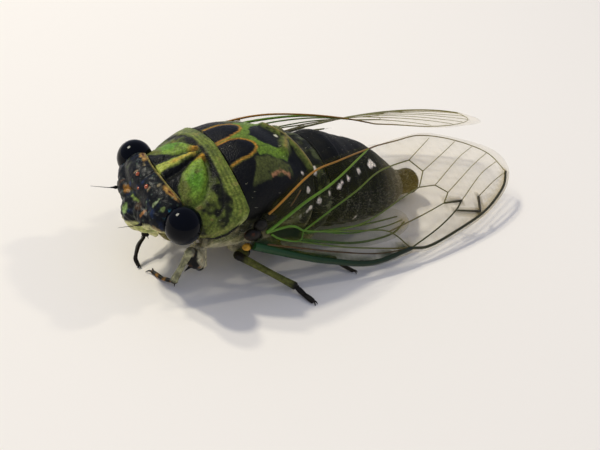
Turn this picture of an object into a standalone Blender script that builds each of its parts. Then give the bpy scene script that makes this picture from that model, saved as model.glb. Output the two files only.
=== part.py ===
"""Dog-day cicada, life size, as a still museum model that rests on its six feet.

Sizes are in millimetres in the insect's own frame: x runs back from the front of the face,
y to the insect's right and z up. The stance at the end tips that frame onto the floor.
"""

from math import atan2, cos, hypot, pi, radians, sin, tan

import bmesh
import bpy
from mathutils import Matrix, Vector
from mathutils.geometry import delaunay_2d_cdt

MM = 0.001
GAP = 0.3  # between pieces that meet

# Stance: the head is raised and the left side is low
HEAD_UP = radians(5.0)
LEFT_DOWN = radians(4.0)
PIVOT = Vector((9.0, 0.0, 0.3))  # the floor passes through this point
BOX_CENTRE = Vector((12.37, -0.12, 0.0))  # from the pivot to the middle of the whole model

# Head
EYE = Vector((3.0, 4.42, 6.85))
EYE_RADII = (1.38, 1.38, 1.48)
CLYPEUS = Vector((2.6, 0.0, 5.15))
CLYPEUS_RADII = (2.3, 1.85, 2.05)
MIDDLE_OCELLUS = Vector((1.3, 0.0, 7.35))
SIDE_OCELLUS = Vector((1.55, 0.8, 7.95))
ANTENNA_SOCKET = Vector((0.46, 2.35, 5.7))

# Body sections, front to back: place along the piece, half width, top, widest level, bottom
PRONOTUM = [(0.0, 4.35, 8.95, 6.9, 4.9), (0.35, 5.05, 9.65, 6.9, 4.8), (0.7, 5.6, 10.35, 7.3, 4.9),
            (1.0, 5.9, 10.75, 7.9, 5.2)]
PROSTERNUM = [(0.0, 1.8, 4.4, 3.5, 2.8), (0.5, 2.5, 4.5, 3.4, 2.5), (1.0, 2.8, 4.5, 3.3, 2.2)]
MESOTHORAX = [(0.0, 5.35, 10.7, 7.3, 1.9), (0.2, 5.4, 11.3, 7.1, 1.7), (0.5, 5.2, 11.35, 6.9, 1.6),
              (0.8, 4.95, 10.75, 6.5, 1.6), (1.0, 4.8, 10.2, 6.2, 1.7)]
METATHORAX = [(0.0, 4.75, 9.75, 6.0, 1.8), (0.5, 4.85, 10.0, 5.9, 1.75), (1.0, 4.75, 9.9, 5.9, 1.8)]
ABDOMEN = [(0.0, 4.6, 9.7, 5.8, 2.0), (0.12, 4.8, 10.0, 5.7, 1.95), (0.35, 4.7, 9.3, 5.4, 1.95),
           (0.6, 4.3, 8.7, 5.1, 2.0), (0.82, 3.3, 7.2, 4.6, 2.2), (1.0, 2.1, 5.8, 4.1, 2.55)]
TAIL = [(0.0, 1.7, 5.4, 4.0, 2.65), (0.5, 1.5, 5.25, 3.9, 2.7), (0.85, 1.15, 4.95, 3.85, 2.9),
        (1.0, 0.6, 4.45, 3.8, 3.3)]
ABDOMEN_RINGS = 8

# Where one body piece ends and the next begins, on the midline
NECK_X, COLLAR_X, SCUTELLUM_X, WAIST_X, TAIL_X, TAIL_END_X = 2.55, 7.2, 15.2, 17.0, 29.3, 32.4

# Legs: coxa, trochanter and knee, then the shin's end and two foot points by height above the floor
LEGS = {
    "fore_left": [(6.3, -2.4, 2.3), (6.2, -3.5, 1.2), (4.5, -4.0, 3.6), (3.5, -4.25, 0.75),
                  (3.15, -3.2, 0.3), (2.85, -2.0, 0.17)],
    "fore_right": [(6.3, 2.4, 2.3), (6.2, 3.5, 1.1), (4.9, 3.95, 3.5), (3.3, 0.95, 1.75),
                   (2.15, -0.15, 0.85), (2.0, -0.7, 0.17)],
    "mid_left": [(9.9, -2.2, 2.0), (10.9, -3.0, 1.3), (8.7, -4.7, 2.85), (12.5, -8.4, 0.6),
                 (12.9, -9.3, 0.25), (13.2, -10.2, 0.17)],
    "mid_right": [(9.9, 2.2, 2.0), (10.9, 3.0, 1.1), (8.9, 4.7, 3.0), (12.3, 8.2, 0.7),
                  (12.7, 9.1, 0.3), (13.1, 10.0, 0.17)],
    "hind_left": [(13.5, -2.2, 2.0), (14.0, -3.1, 1.45), (12.1, -5.3, 3.2), (17.6, -6.9, 0.75),
                  (18.2, -7.6, 0.35), (18.8, -8.3, 0.17)],
    "hind_right": [(13.5, 2.2, 2.0), (14.0, 3.1, 1.4), (12.1, 5.3, 3.2), (17.6, 6.8, 0.75),
                   (18.4, 7.6, 0.3), (19.2, 8.2, 0.17)],
}
LEG_RADII = {
    "fore": {"coxa": (0.75, 0.55), "femur": (0.55, 0.72, 0.42), "tibia": (0.36, 0.32), "foot": 0.26},
    "mid": {"coxa": (0.7, 0.5), "femur": (0.42, 0.5, 0.4), "tibia": (0.38, 0.32), "foot": 0.27},
    "hind": {"coxa": (0.75, 0.5), "femur": (0.42, 0.52, 0.4), "tibia": (0.36, 0.3), "foot": 0.27},
}

# Forewing, flat: u along the wing from its hinge, v towards the hind edge
WING_HINGE = Vector((8.05, 6.45, 5.7))
WING_THICKNESS = 0.5
RIDGE = 0.16
WING_STATIONS = (0.0, 16.0, 36.0)
# Yaw outwards, pitch down, roof slope at the three stations and its change per millimetre of v
WING_SET = {
    "left": {"yaw": 6.5, "pitch": 5.2, "slope": (75.0, 44.0, 36.0), "arch": (-4.3, -2.3, -2.2)},
    "right": {"yaw": 9.5, "pitch": 1.6, "slope": (76.0, 47.0, 31.0), "arch": (-3.7, -3.0, -1.9)},
}
NODE, CLAVUS_TIP, FORK = (16.8, -0.65), (13.4, 8.5), (14.3, 0.85)
A, B, C, D = (18.7, 7.9), (20.1, 6.8), (19.0, 5.1), (21.2, 5.4)
E, F, G, H = (22.7, 4.7), (21.8, 3.6), (24.3, 3.9), (26.9, 4.4)
FOREWING_EDGE = [(0.0, -0.5), (4.6, -1.4), (7.9, -1.9), (12.4, -2.15), (16.8, -1.1), (19.0, -0.85),
                 (22.8, 0.55), (27.4, 2.6), (31.4, 5.3), (33.4, 7.6), (33.9, 9.2), (33.0, 10.5),
                 (31.0, 11.1), (27.0, 11.5), (22.6, 11.5), (18.2, 10.3), (15.4, 9.3), (13.5, 8.9),
                 (9.2, 7.5), (5.5, 6.1), (2.8, 4.2), (1.2, 2.8), (0.3, 1.6)]
FOREWING_VEINS = {
    "costa": (0.42, [(0.4, -0.1), (4.6, -1.0), (7.9, -1.5), (12.4, -1.75), NODE]),
    "edge": (0.28, [NODE, (19.0, -0.45), (22.8, 0.95), (27.4, 3.0), (31.2, 5.6), (32.8, 7.6)]),
    "stem": (0.3, [(1.3, 0.9), (3.6, 1.4), (4.9, 1.0)]),
    "median": (0.24, [(4.9, 1.0), (7.8, 0.9), (11.0, 0.95), FORK, NODE]),
    "median branch": (0.22, [(7.8, 0.9), (11.0, 1.5), (13.2, 2.35), (17.0, 4.2), C]),
    "cubitus": (0.26, [(4.9, 1.0), (7.7, 2.7), (10.8, 4.4), (13.6, 6.1), (16.1, 7.1), A]),
    "claval": (0.32, [(1.3, 0.9), (4.7, 3.2), (7.9, 4.9), (11.9, 7.5), CLAVUS_TIP]),
    "anal": (0.24, [(1.3, 2.4), (5.5, 5.6), (9.2, 7.0), CLAVUS_TIP]),
    "border": (0.22, [CLAVUS_TIP, (17.8, 9.5), (21.9, 10.8), (26.8, 10.9), (31.2, 9.9), (32.8, 7.6)]),
    "cross": (0.22, [A, B, C, D, E, F]),
    "fork branch": (0.22, [FORK, (18.7, 2.4), F, G, H, (26.6, 2.85)]),
    "apical 1": (0.2, [A, (23.0, 10.9)]),
    "apical 2": (0.2, [B, (24.4, 9.4), (26.8, 10.9)]),
    "apical 3": (0.2, [D, (26.0, 8.7), (29.2, 10.5)]),
    "apical 4": (0.2, [E, (27.5, 7.8), (31.2, 9.9)]),
    "apical 5": (0.2, [G, (28.5, 7.0), (32.2, 8.9)]),
    "apical 6": (0.2, [H, (30.0, 6.2), (32.8, 7.6)]),
}
# Hindwing, folded under the forewing in the same flat measures
HINDWING_DROP = 1.0
HINDWING_EDGE = [(3.6, 0.0), (6.0, -0.5), (11.0, -0.6), (15.5, 0.3), (17.6, 1.7), (16.8, 3.0),
                 (13.5, 3.2), (9.0, 2.4), (6.0, 1.7), (3.8, 1.1)]
HINDWING_VEINS = {
    "costa": (0.3, [(4.1, 0.3), (6.0, 0.0), (11.0, -0.15), (15.2, 0.7), (17.0, 1.9)]),
    "median": (0.22, [(4.1, 0.3), (7.0, 0.8), (12.0, 1.5), (16.2, 2.4)]),
}

BODY_SEGMENTS = 32
COLOURS = {
    "head": ((0.02, 0.03, 0.03), 0.35), "eye": ((0.01, 0.01, 0.03), 0.1),
    "bristle": ((0.05, 0.04, 0.03), 0.5), "pronotum": ((0.16, 0.2, 0.06), 0.45),
    "mesothorax": ((0.06, 0.09, 0.03), 0.4), "metathorax": ((0.1, 0.11, 0.05), 0.5),
    "underside": ((0.5, 0.45, 0.3), 0.6), "abdomen": ((0.03, 0.03, 0.03), 0.45),
    "leg": ((0.14, 0.15, 0.05), 0.45), "wing": ((0.6, 0.58, 0.45), 0.25),
}


def start_scene():
    for thing in list(bpy.data.objects):
        bpy.data.objects.remove(thing, do_unlink=True)
    for name in ("cicada", "cutters"):
        bpy.context.scene.collection.children.link(bpy.data.collections.new(name))


def material(name):
    """The piece's own Principled material."""
    colour, roughness = COLOURS[name]
    made = bpy.data.materials.new(name)
    made.use_nodes = True
    shader = made.node_tree.nodes["Principled BSDF"]
    shader.inputs["Base Color"].default_value = (*colour, 1.0)
    shader.inputs["Roughness"].default_value = roughness
    shader.inputs["Metallic"].default_value = 0.0
    return made


def place(name, bm, collection="cicada"):
    """An object in metres from a mesh in millimetres."""
    bmesh.ops.scale(bm, vec=(MM, MM, MM), verts=bm.verts)
    mesh = bpy.data.meshes.new(name)
    bm.to_mesh(mesh)
    bm.free()
    thing = bpy.data.objects.new(name, mesh)
    bpy.data.collections[collection].objects.link(thing)
    return thing


def cutter(name, bm):
    thing = place(name, bm, "cutters")
    thing.hide_render = True
    thing.display_type = "WIRE"
    return thing


def keep_largest(mesh):
    """Leaves only the closed surface with the most room inside it."""
    bm = bmesh.new()
    bm.from_mesh(mesh)
    bmesh.ops.remove_doubles(bm, verts=bm.verts, dist=0.000001)
    left, islands = set(bm.faces), []
    while left:
        island, edge = set(), [next(iter(left))]
        while edge:
            face = edge.pop()
            if face in island:
                continue
            island.add(face)
            edge += [other for side in face.edges for other in side.link_faces]
        left -= island
        islands.append(island)
    def room(island):
        return sum(face.calc_center_median().dot(face.normal) * face.calc_area() for face in island)
    best = max(islands, key=room)
    loose = [face for island in islands if island is not best for face in island]
    bmesh.ops.delete(bm, geom=loose, context="FACES")
    bm.to_mesh(mesh)
    bm.free()


def bake(thing):
    """Turns a piece with modifiers into its plain mesh."""
    bpy.context.view_layer.update()
    evaluated = thing.evaluated_get(bpy.context.evaluated_depsgraph_get())
    mesh = bpy.data.meshes.new_from_object(evaluated)
    thing.modifiers.clear()
    old, thing.data = thing.data, mesh
    bpy.data.meshes.remove(old)
    keep_largest(mesh)


def fuse(base, pieces):
    """One union of a node's pieces."""
    group = bpy.data.collections.new("union")
    bpy.context.scene.collection.children.link(group)
    for piece in pieces:
        bpy.data.collections["cicada"].objects.unlink(piece)
        group.objects.link(piece)
    join = base.modifiers.new("union", "BOOLEAN")
    join.operation, join.solver, join.operand_type, join.collection = "UNION", "EXACT", "COLLECTION", group
    bake(base)
    for piece in pieces:
        bpy.data.objects.remove(piece, do_unlink=True)
    bpy.data.collections.remove(group)


def cut(base, cutters):
    """Takes each cutter away from the piece."""
    for tool in cutters:
        carve = base.modifiers.new("cut", "BOOLEAN")
        carve.operation, carve.solver, carve.object = "DIFFERENCE", "EXACT", tool
    bake(base)


def smooth_row(rows, t):
    """The row at t from 0 to 1 on a smooth curve through rows whose first value is t."""
    last = len(rows) - 1
    i = max(k for k in range(last) if rows[k][0] <= t or k == 0)
    p1, p2 = rows[i], rows[i + 1]
    p0, p3 = rows[max(i - 1, 0)], rows[min(i + 2, last)]
    span = p2[0] - p1[0]
    s = (t - p1[0]) / span
    values = []
    for a, b, c, d in zip(p0[1:], p1[1:], p2[1:], p3[1:]):
        m1 = (c - a) / (p2[0] - p0[0]) * span
        m2 = (d - b) / (p3[0] - p1[0]) * span
        values.append((2 * s**3 - 3 * s**2 + 1) * b + (s**3 - 2 * s**2 + s) * m1
                      + (3 * s**2 - 2 * s**3) * c + (s**3 - s**2) * m2)
    return values


def spline(points, step):
    """Points about step apart on a smooth curve through the given ones."""
    rows = [(k, *point) for k, point in enumerate(points)]
    out = []
    for k in range(len(points) - 1):
        length = (Vector(points[k + 1]) - Vector(points[k])).length
        pieces = max(1, round(length / step))
        out += [tuple(smooth_row(rows, k + j / pieces)) for j in range(pieces)]
    return out + [tuple(points[-1])]


# Faces between body pieces, as x at a place across the body

def neck(y, z):
    return NECK_X + 0.055 * y * y + 0.12 * (9.0 - z)


def collar_edge(y, z):
    sweep = 0.85 * max(0.0, 8.4 - z) * min(1.0, (y / 5.85) ** 2)
    return COLLAR_X + 0.019 * y * y - sweep


def scutellum_edge(y, z):
    return SCUTELLUM_X - 0.012 * y * y + 0.05 * (10.0 - z)


def waist(y, z):
    return WAIST_X + 0.05 * (10.0 - z)


def tail_edge(y, z):
    return TAIL_X + 0.1 * (4.0 - z)


def tail_end(y, z):
    return TAIL_END_X


def section_point(row, angle, grow=0.0, squareness=(2.0, 2.0)):
    """A point across the body: widest at its side level, with its own squareness above and below it."""
    half, top, side, bottom = row
    power = 2.0 / squareness[0 if sin(angle) > 0 else 1]
    across, rise = abs(cos(angle)) ** power, abs(sin(angle)) ** power
    y = (half + grow) * across * (1 if cos(angle) >= 0 else -1)
    z = side + (top - side + grow) * rise if sin(angle) > 0 else side - (side - bottom + grow) * rise
    return y, z


def push(face, y, z):
    """How much further along x a gap must reach where the face between two pieces slants."""
    d = 0.05
    return hypot(1.0, (face(y + d, z) - face(y - d, z)) / (2 * d), (face(y, z + d) - face(y, z - d)) / (2 * d))


def body_loft(front, back, rows, rings, gap=0.0, grow=0.0, shape=None, squareness=(2.0, 2.0),
              segments=BODY_SEGMENTS):
    """A closed length of body between two faces, drawn from its sections.

    shape(x, y, z, t) gives how far a point moves out from the section's middle.
    """
    bm = bmesh.new()
    loops = []
    for i in range(rings + 1):
        t = i / rings
        row = smooth_row(rows, t)
        loop = []
        for k in range(segments):
            y, z = section_point(row, 2 * pi * k / segments, grow, squareness)
            start = front(y, z) + (gap - grow) * push(front, y, z)
            x = (1 - t) * start + t * (back(y, z) - (gap - grow) * push(back, y, z))
            if shape:
                out = shape(x, y, z, t)
                reach = hypot(y, z - row[2]) or 1.0
                y, z = y * (1 + out / reach), row[2] + (z - row[2]) * (1 + out / reach)
            loop.append(bm.verts.new((x, y, z)))
        loops.append(loop)
    for one, two in zip(loops, loops[1:]):
        for k in range(segments):
            n = (k + 1) % segments
            bm.faces.new((one[k], one[n], two[n], two[k]))
    close_end(bm, loops[0], front, rows[0][3], gap - grow)
    close_end(bm, loops[-1], back, rows[-1][3], grow - gap)
    bmesh.ops.recalc_face_normals(bm, faces=bm.faces)
    return bm


def close_end(bm, loop, face, level, shift):
    """Closes a body piece with rings that follow the face it meets the next piece on."""
    outer = loop
    for scale in (0.62, 0.28):
        inner = []
        for vert in outer if scale == 0.62 else loop:
            y, z = vert.co.y * scale, level + (vert.co.z - level) * scale
            inner.append(bm.verts.new((face(y, z) + shift * push(face, y, z), y, z)))
        for k in range(len(loop)):
            n = (k + 1) % len(loop)
            bm.faces.new((outer[k], inner[k], inner[n], outer[n]))
        outer = inner
    middle = bm.verts.new((face(0.0, level) + shift, 0.0, level))
    for k in range(len(loop)):
        bm.faces.new((outer[k], middle, outer[(k + 1) % len(loop)]))


def ball(centre, radii, segments=20, rings=12, turn=None):
    """A closed ellipsoid."""
    bm = bmesh.new()
    bmesh.ops.create_uvsphere(bm, u_segments=segments, v_segments=rings, radius=1.0)
    bmesh.ops.scale(bm, vec=radii, verts=bm.verts)
    if turn:
        bmesh.ops.rotate(bm, cent=(0, 0, 0), matrix=turn, verts=bm.verts)
    bmesh.ops.translate(bm, vec=centre, verts=bm.verts)
    return bm


def floor_level(x, y):
    """Height of the floor in the insect's frame."""
    return PIVOT.z + tan(HEAD_UP) * (x - PIVOT.x) - tan(LEFT_DOWN) * y / cos(HEAD_UP)


def limb(points, radii, sides=8, step=0.8, squash=1.0, grow=0.0, grounded=True):
    """A closed tapered limb along a smooth path, pressed flat where it meets the floor."""
    path = [Vector(p) for p in spline(points, step)]
    bm = bmesh.new()
    loops, last = [], len(path) - 1
    ahead = (path[1] - path[0]).normalized()
    side = ahead.orthogonal().normalized()
    if abs(ahead.z) < 0.95:
        side = ahead.cross(Vector((0, 0, 1))).normalized()
    for k, point in enumerate(path):
        ahead = (path[min(k + 1, last)] - path[max(k - 1, 0)]).normalized()
        side = (side - ahead * side.dot(ahead)).normalized()
        up = ahead.cross(side)
        place_on = k / last * (len(radii) - 1)
        i = min(int(place_on), len(radii) - 2)
        s = place_on - i
        radius = radii[i] + (radii[i + 1] - radii[i]) * (3 * s * s - 2 * s**3) + grow
        loop = []
        for j in range(sides):
            a = 2 * pi * j / sides
            loop.append(bm.verts.new(point + side * radius * squash * cos(a) + up * radius * sin(a)))
        loops.append(loop)
    for one, two in zip(loops, loops[1:]):
        for j in range(sides):
            n = (j + 1) % sides
            bm.faces.new((one[j], one[n], two[n], two[j]))
    bm.faces.new(loops[0])
    bm.faces.new(loops[-1])
    for vert in bm.verts if grounded else ():
        vert.co.z = max(vert.co.z, floor_level(vert.co.x, vert.co.y))
    bmesh.ops.recalc_face_normals(bm, faces=bm.faces)
    return bm


def pronotum_shape(x, y, z, t):
    """The raised collar and the slanting furrows of the shield."""
    if z < 5.6:
        return 0.0
    from_edge = collar_edge(y, z) - x
    collar = 0.15 if from_edge < 1.0 else 0.15 * max(0.0, 1.0 - (from_edge - 1.0) / 0.35)
    if t < 0.02:
        return 0.0
    across = abs(y)
    furrow = 0.0
    for base, lean in ((1.2, 0.55), (3.2, 0.35)):
        line = base + lean * (x - 4.2)
        furrow -= 0.22 * max(0.0, 1.0 - abs(across - line) / 0.55)
    return collar + (furrow if from_edge > 1.3 else 0.0)


def mesothorax_shape(x, y, z, t):
    """The cross-shaped rise at the back of the shield."""
    if z < 7.5:
        return 0.0
    rise = 0.0
    for reach_x, reach_y in ((-1.5, 1.2), (1.3, 1.5)):
        across = abs(y)
        along = max(0.0, min(1.0, ((x - 13.9) * reach_x + across * reach_y) / (reach_x**2 + reach_y**2)))
        distance = hypot(x - 13.9 - along * reach_x, across - along * reach_y)
        rise = max(rise, 0.38 * max(0.0, 1.0 - distance / 0.6))
    return rise


def abdomen_shape(x, y, z, t):
    """Each ring swells a little towards its back edge and overlaps the next."""
    place_in_ring = (t * ABDOMEN_RINGS) % 1.0
    return 0.14 * place_in_ring - 0.07


# Front face, back face, sections, rings, relief and squareness of the upper and lower halves
BODY = {
    "pronotum": (neck, collar_edge, PRONOTUM, 12, pronotum_shape, (1.5, 3.6)),
    "prosternum": (lambda y, z: neck(y, z) + 1.7, lambda y, z: 6.6 - 0.12 * y * y, PROSTERNUM, 3, None, (2.0, 2.0)),
    "mesothorax": (collar_edge, scutellum_edge, MESOTHORAX, 14, mesothorax_shape, (2.1, 2.0)),
    "metathorax": (scutellum_edge, waist, METATHORAX, 3, None, (2.0, 2.0)),
    "abdomen": (waist, tail_edge, ABDOMEN, 2 * ABDOMEN_RINGS, abdomen_shape, (1.95, 2.0)),
    "abdomen_tail": (tail_edge, tail_end, TAIL, 5, None, (2.0, 2.0)),
}
BODY_COLOURS = {"pronotum": "pronotum", "prosternum": "underside", "mesothorax": "mesothorax",
                "metathorax": "metathorax", "abdomen": "abdomen", "abdomen_tail": "abdomen"}


def body_solid(name, grow=0.0):
    """One body piece, or a grown copy of it to cut with."""
    front, back, rows, rings, shape, squareness = BODY[name]
    return body_loft(front, back, rows, rings, GAP / 2, grow, shape, squareness)


def body_cutter(name):
    return cutter("clear_" + name, body_solid(name, GAP))


def mirrored(point, side):
    return Vector((point[0], point[1] * side, point[2]))


def make_head():
    """Vertex between the eyes, swollen ribbed face, plates over the feelers and three ocelli."""
    head = place("head", ball((2.75, 0.0, 6.9), (1.75, 4.5, 1.85), 28, 16))
    pieces = []
    face = ball(CLYPEUS, CLYPEUS_RADII, 24, 16)
    for vert in face.verts:
        if vert.co.x < CLYPEUS.x:
            rib = 0.05 * cos((vert.co.z - CLYPEUS.z) * 2 * pi / 0.52)
            vert.co += Vector((-1, 0, 0)) * rib * min(1.0, (CLYPEUS.x - vert.co.x))
    pieces.append(place("face", face))
    pieces.append(place("lip", ball((3.7, 0.0, 3.4), (1.25, 1.05, 1.1), 14, 10)))
    pieces.append(place("cheeks", ball((3.2, 0.0, 5.3), (1.3, 3.1, 1.5), 20, 12)))
    pieces.append(place("ocellus", ball(MIDDLE_OCELLUS, (0.22, 0.22, 0.22), 8, 6)))
    for side in (-1, 1):
        pieces.append(place("ocellus", ball(mirrored(SIDE_OCELLUS, side), (0.22, 0.22, 0.22), 8, 6)))
        pieces.append(place("plate", ball((1.35, 2.0 * side, 6.3), (0.6, 0.85, 0.3), 12, 8)))
        pieces.append(place("cheek", ball((1.45, 1.5 * side, 5.9), (0.84, 1.46, 0.9), 16, 10)))
        pieces.append(place("brow", ball((2.0, 2.6 * side, 6.35), (0.94, 1.46, 1.0), 16, 10)))
    fuse(head, pieces)
    tools = [cutter("neck_cut", body_loft(neck, lambda y, z: 12.0, [(0.0, 9.0, 14.0, 6.0, -2.0),
                                          (1.0, 9.0, 14.0, 6.0, -2.0)], 2, -GAP / 2))]
    for side in (-1, 1):
        grown = [r + GAP for r in EYE_RADII]
        tools.append(cutter("eye_socket", ball(mirrored(EYE, side), grown, 24, 14)))
    cut(head, tools)
    return head


def make_eyes():
    for name, side in (("eye_left", -1), ("eye_right", 1)):
        place(name, ball(mirrored(EYE, side), EYE_RADII, 22, 14))


def make_antennae():
    """A thick root and a bristle that tapers away; the left one lies before the face."""
    lean = {-1: [(-0.45, 0.05, -0.1), (-0.95, 0.3, -0.3), (-1.4, 0.65, -0.6)],
            1: [(-0.55, 0.1, 0.0), (-1.2, 0.25, 0.05), (-1.95, 0.3, 0.2)]}
    for name, side in (("antenna_left", -1), ("antenna_right", 1)):
        root = mirrored(ANTENNA_SOCKET, side)
        place(name, limb([root] + [root + Vector(p) for p in lean[side]], (0.3, 0.26, 0.17, 0.07), 6, 0.4))


def make_beak(cutters):
    beak = place("beak", limb([(3.75, 0.0, 3.0), (4.3, 0.0, 2.3), (5.0, 0.0, 1.8), (6.4, 0.0, 1.3),
                               (8.6, 0.0, 1.05)], (0.44, 0.42, 0.38, 0.3, 0.16), 8, 0.8))
    cut(beak, cutters)


def make_body():
    made = {}
    for name in BODY:
        made[name] = place(name, body_solid(name))
    sockets = []
    for side in (-1, 1):
        grown = [r + GAP for r in EYE_RADII]
        sockets.append(cutter("eye_room", ball(mirrored(EYE, side), grown, 24, 14)))
    cut(made["pronotum"], sockets)


def make_opercula(cutters):
    """The two plates that cover the drums of the male, under the root of the abdomen."""
    for name, side in (("operculum_left", -1), ("operculum_right", 1)):
        plate = place(name, ball((16.5, 2.1 * side, 2.15), (1.9, 1.7, 0.62), 14, 8))
        cut(plate, cutters)


def make_leg(name, points, cutters):
    """Coxa, femur, shin and foot, each a solid of its own with a gap at the joint."""
    radii = LEG_RADII[name.split("_")[0]]
    coxa, trochanter, knee, shin_end, *foot = [Vector(p) for p in points]
    for point in (shin_end, *foot):
        point.z += floor_level(point.x, point.y)
    r = radii["foot"]
    parts = {
        "coxa": ([coxa, (coxa + trochanter) / 2, trochanter], radii["coxa"], 0.6),
        "femur": ([trochanter, (trochanter + knee) / 2, knee], radii["femur"], 0.7),
        "tibia": ([knee, (knee + shin_end) / 2, shin_end], radii["tibia"], 0.9),
        "tarsus": ([shin_end, *foot], (r * 0.8, r, r, r * 0.9), 0.5),
    }
    made, tools = {}, list(cutters)
    for segment, (path, sizes, step) in parts.items():
        ahead = (Vector(path[-1]) - Vector(path[-2])).normalized()
        made[segment] = place(name + "_" + segment, limb(path, sizes, 8, step))
        if segment == "tarsus":
            fuse(made[segment], make_claws(foot, ahead))
        cut(made[segment], tools)
        grown = [path[0], *path[1:-1], path[-1] + ahead * GAP]
        tools.append(cutter("clear_" + name, limb(grown, sizes, 8, step, 1.0, GAP, False)))
    return made


def make_claws(foot, ahead):
    across = ahead.cross(Vector((0, 0, 1))).normalized()
    claws = []
    for turn in (-1, 1):
        tip = foot[-1] + ahead * 0.5 + across * 0.4 * turn
        tip.z = floor_level(tip.x, tip.y) + 0.05
        bend = (foot[-1] + tip) / 2 + Vector((0, 0, 0.1))
        claws.append(place("claw", limb([foot[-1] - ahead * 0.1, bend, tip], (0.17, 0.12, 0.05), 5, 0.35)))
    return claws


def station_value(values, u):
    """A wing setting at u, straight between the stations."""
    first, middle, last = WING_STATIONS
    if u <= middle:
        return values[0] + (values[1] - values[0]) * (u - first) / (middle - first)
    return values[1] + (values[2] - values[1]) * (u - middle) / (last - middle)


def wing_place(side_name, u, v):
    """Where a point of the flat wing lies on the arched roof that the wing makes."""
    setting = WING_SET[side_name]
    side = -1 if side_name == "left" else 1
    slope = radians(station_value(setting["slope"], u))
    arch = radians(station_value(setting["arch"], u))
    turned = slope + arch * v
    inward = (sin(turned) - sin(slope)) / arch
    rise = (cos(slope) - cos(turned)) / arch
    turn = Matrix.Rotation(side * radians(setting["yaw"]), 3, "Z") @ Matrix.Rotation(radians(setting["pitch"]), 3, "Y")
    return mirrored(WING_HINGE, side) + turn @ Vector((u, -side * inward, rise))


def wing_normal(side_name, u, v):
    """The upper side's direction."""
    d = 0.05
    along = wing_place(side_name, u + d, v) - wing_place(side_name, u - d, v)
    across = wing_place(side_name, u, v + d) - wing_place(side_name, u, v - d)
    normal = along.cross(across).normalized()
    return normal if normal.z > 0 else -normal


def near_line(point, line):
    """The distance from a flat point to a broken line."""
    best = 1e9
    for a, b in zip(line, line[1:]):
        a, b = Vector(a), Vector(b)
        along = b - a
        s = max(0.0, min(1.0, (point - a).dot(along) / along.length_squared))
        best = min(best, (point - a - along * s).length)
    return best


def offset_line(line, distance):
    """A line beside another, left out near its two ends."""
    out = []
    for k in range(1, len(line) - 1):
        ahead = (Vector(line[k + 1]) - Vector(line[k - 1])).normalized()
        out.append(Vector(line[k]) + Vector((-ahead.y, ahead.x)) * distance)
    return out


def flat_wing(edge, veins, step):
    """The flat wing as points, triangles and the height of the ridge at each point."""
    rim = [Vector(p) for p in spline(edge + edge[:1], step)[:-1]]
    lines = {name: (half, spline(points, step)) for name, (half, points) in veins.items()}
    points, edges = list(rim), [(k, (k + 1) % len(rim)) for k in range(len(rim))]

    def add(line):
        base = len(points)
        points.extend(Vector(p) for p in line)
        edges.extend((base + k, base + k + 1) for k in range(len(line) - 1))

    for half, line in lines.values():
        add(line)
        for distance in (-half, half):
            beside = offset_line(line, distance)
            beside = [p for p in beside if near_line(p, rim + rim[:1]) > 0.12
                      and all(near_line(p, other) >= min(half, o) * 0.95 for o, other in lines.values())]
            points.extend(beside)
    spacing = 2.1
    low = [min(p[i] for p in rim) for i in (0, 1)]
    high = [max(p[i] for p in rim) for i in (0, 1)]
    for i in range(int((high[0] - low[0]) / spacing) + 1):
        for j in range(int((high[1] - low[1]) / spacing) + 1):
            p = Vector((low[0] + (i + 0.5 * (j % 2)) * spacing, low[1] + j * spacing))
            if near_line(p, rim + rim[:1]) > 0.8 and all(near_line(p, line) > 0.8 for _, line in lines.values()):
                points.append(p)
    verts, _, faces, _, _, _ = delaunay_2d_cdt(points, edges, [list(range(len(rim)))], 1, 0.0001)
    heights = []
    for p in verts:
        best = 0.0
        for half, line in lines.values():
            best = max(best, (RIDGE if half < 0.4 else 1.6 * RIDGE) * max(0.0, 1.0 - near_line(p, line) / half))
        heights.append(best)
    return verts, faces, heights


def wing_solid(side_name, edge, veins, step, drop=0.0):
    """The arched wing with its veins raised on both faces, split into triangles alike on both."""
    flat, faces, heights = flat_wing(edge, veins, step)
    bm = bmesh.new()
    upper, lower = [], []
    for p, ridge in zip(flat, heights):
        middle = wing_place(side_name, p.x, p.y)
        normal = wing_normal(side_name, p.x, p.y)
        middle -= normal * drop
        upper.append(bm.verts.new(middle + normal * (WING_THICKNESS / 2 + ridge)))
        lower.append(bm.verts.new(middle - normal * (WING_THICKNESS / 2 + ridge * 0.5)))
    rim = {}
    for face in faces:
        bm.faces.new([upper[i] for i in face])
        bm.faces.new([lower[i] for i in reversed(face)])
        for k in range(len(face)):
            a, b = face[k], face[(k + 1) % len(face)]
            if (b, a) in rim:
                del rim[(b, a)]
            else:
                rim[(a, b)] = True
    for a, b in rim:
        bm.faces.new((upper[b], upper[a], lower[a]))
        bm.faces.new((upper[b], lower[a], lower[b]))
    bmesh.ops.recalc_face_normals(bm, faces=bm.faces)
    return bm


def make_wings(cutters):
    for side_name, side in (("left", -1), ("right", 1)):
        wing = place("forewing_" + side_name, wing_solid(side_name, FOREWING_EDGE, FOREWING_VEINS, 1.7))
        hinge = place("hinge", ball(mirrored((9.0, 5.95, 6.6), side), (1.2, 0.8, 1.2), 14, 10))
        fuse(wing, [hinge])
        cut(wing, cutters)
        under = wing_solid(side_name, HINDWING_EDGE, HINDWING_VEINS, 1.7, HINDWING_DROP)
        cut(place("hindwing_" + side_name, under), cutters[2:])


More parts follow.
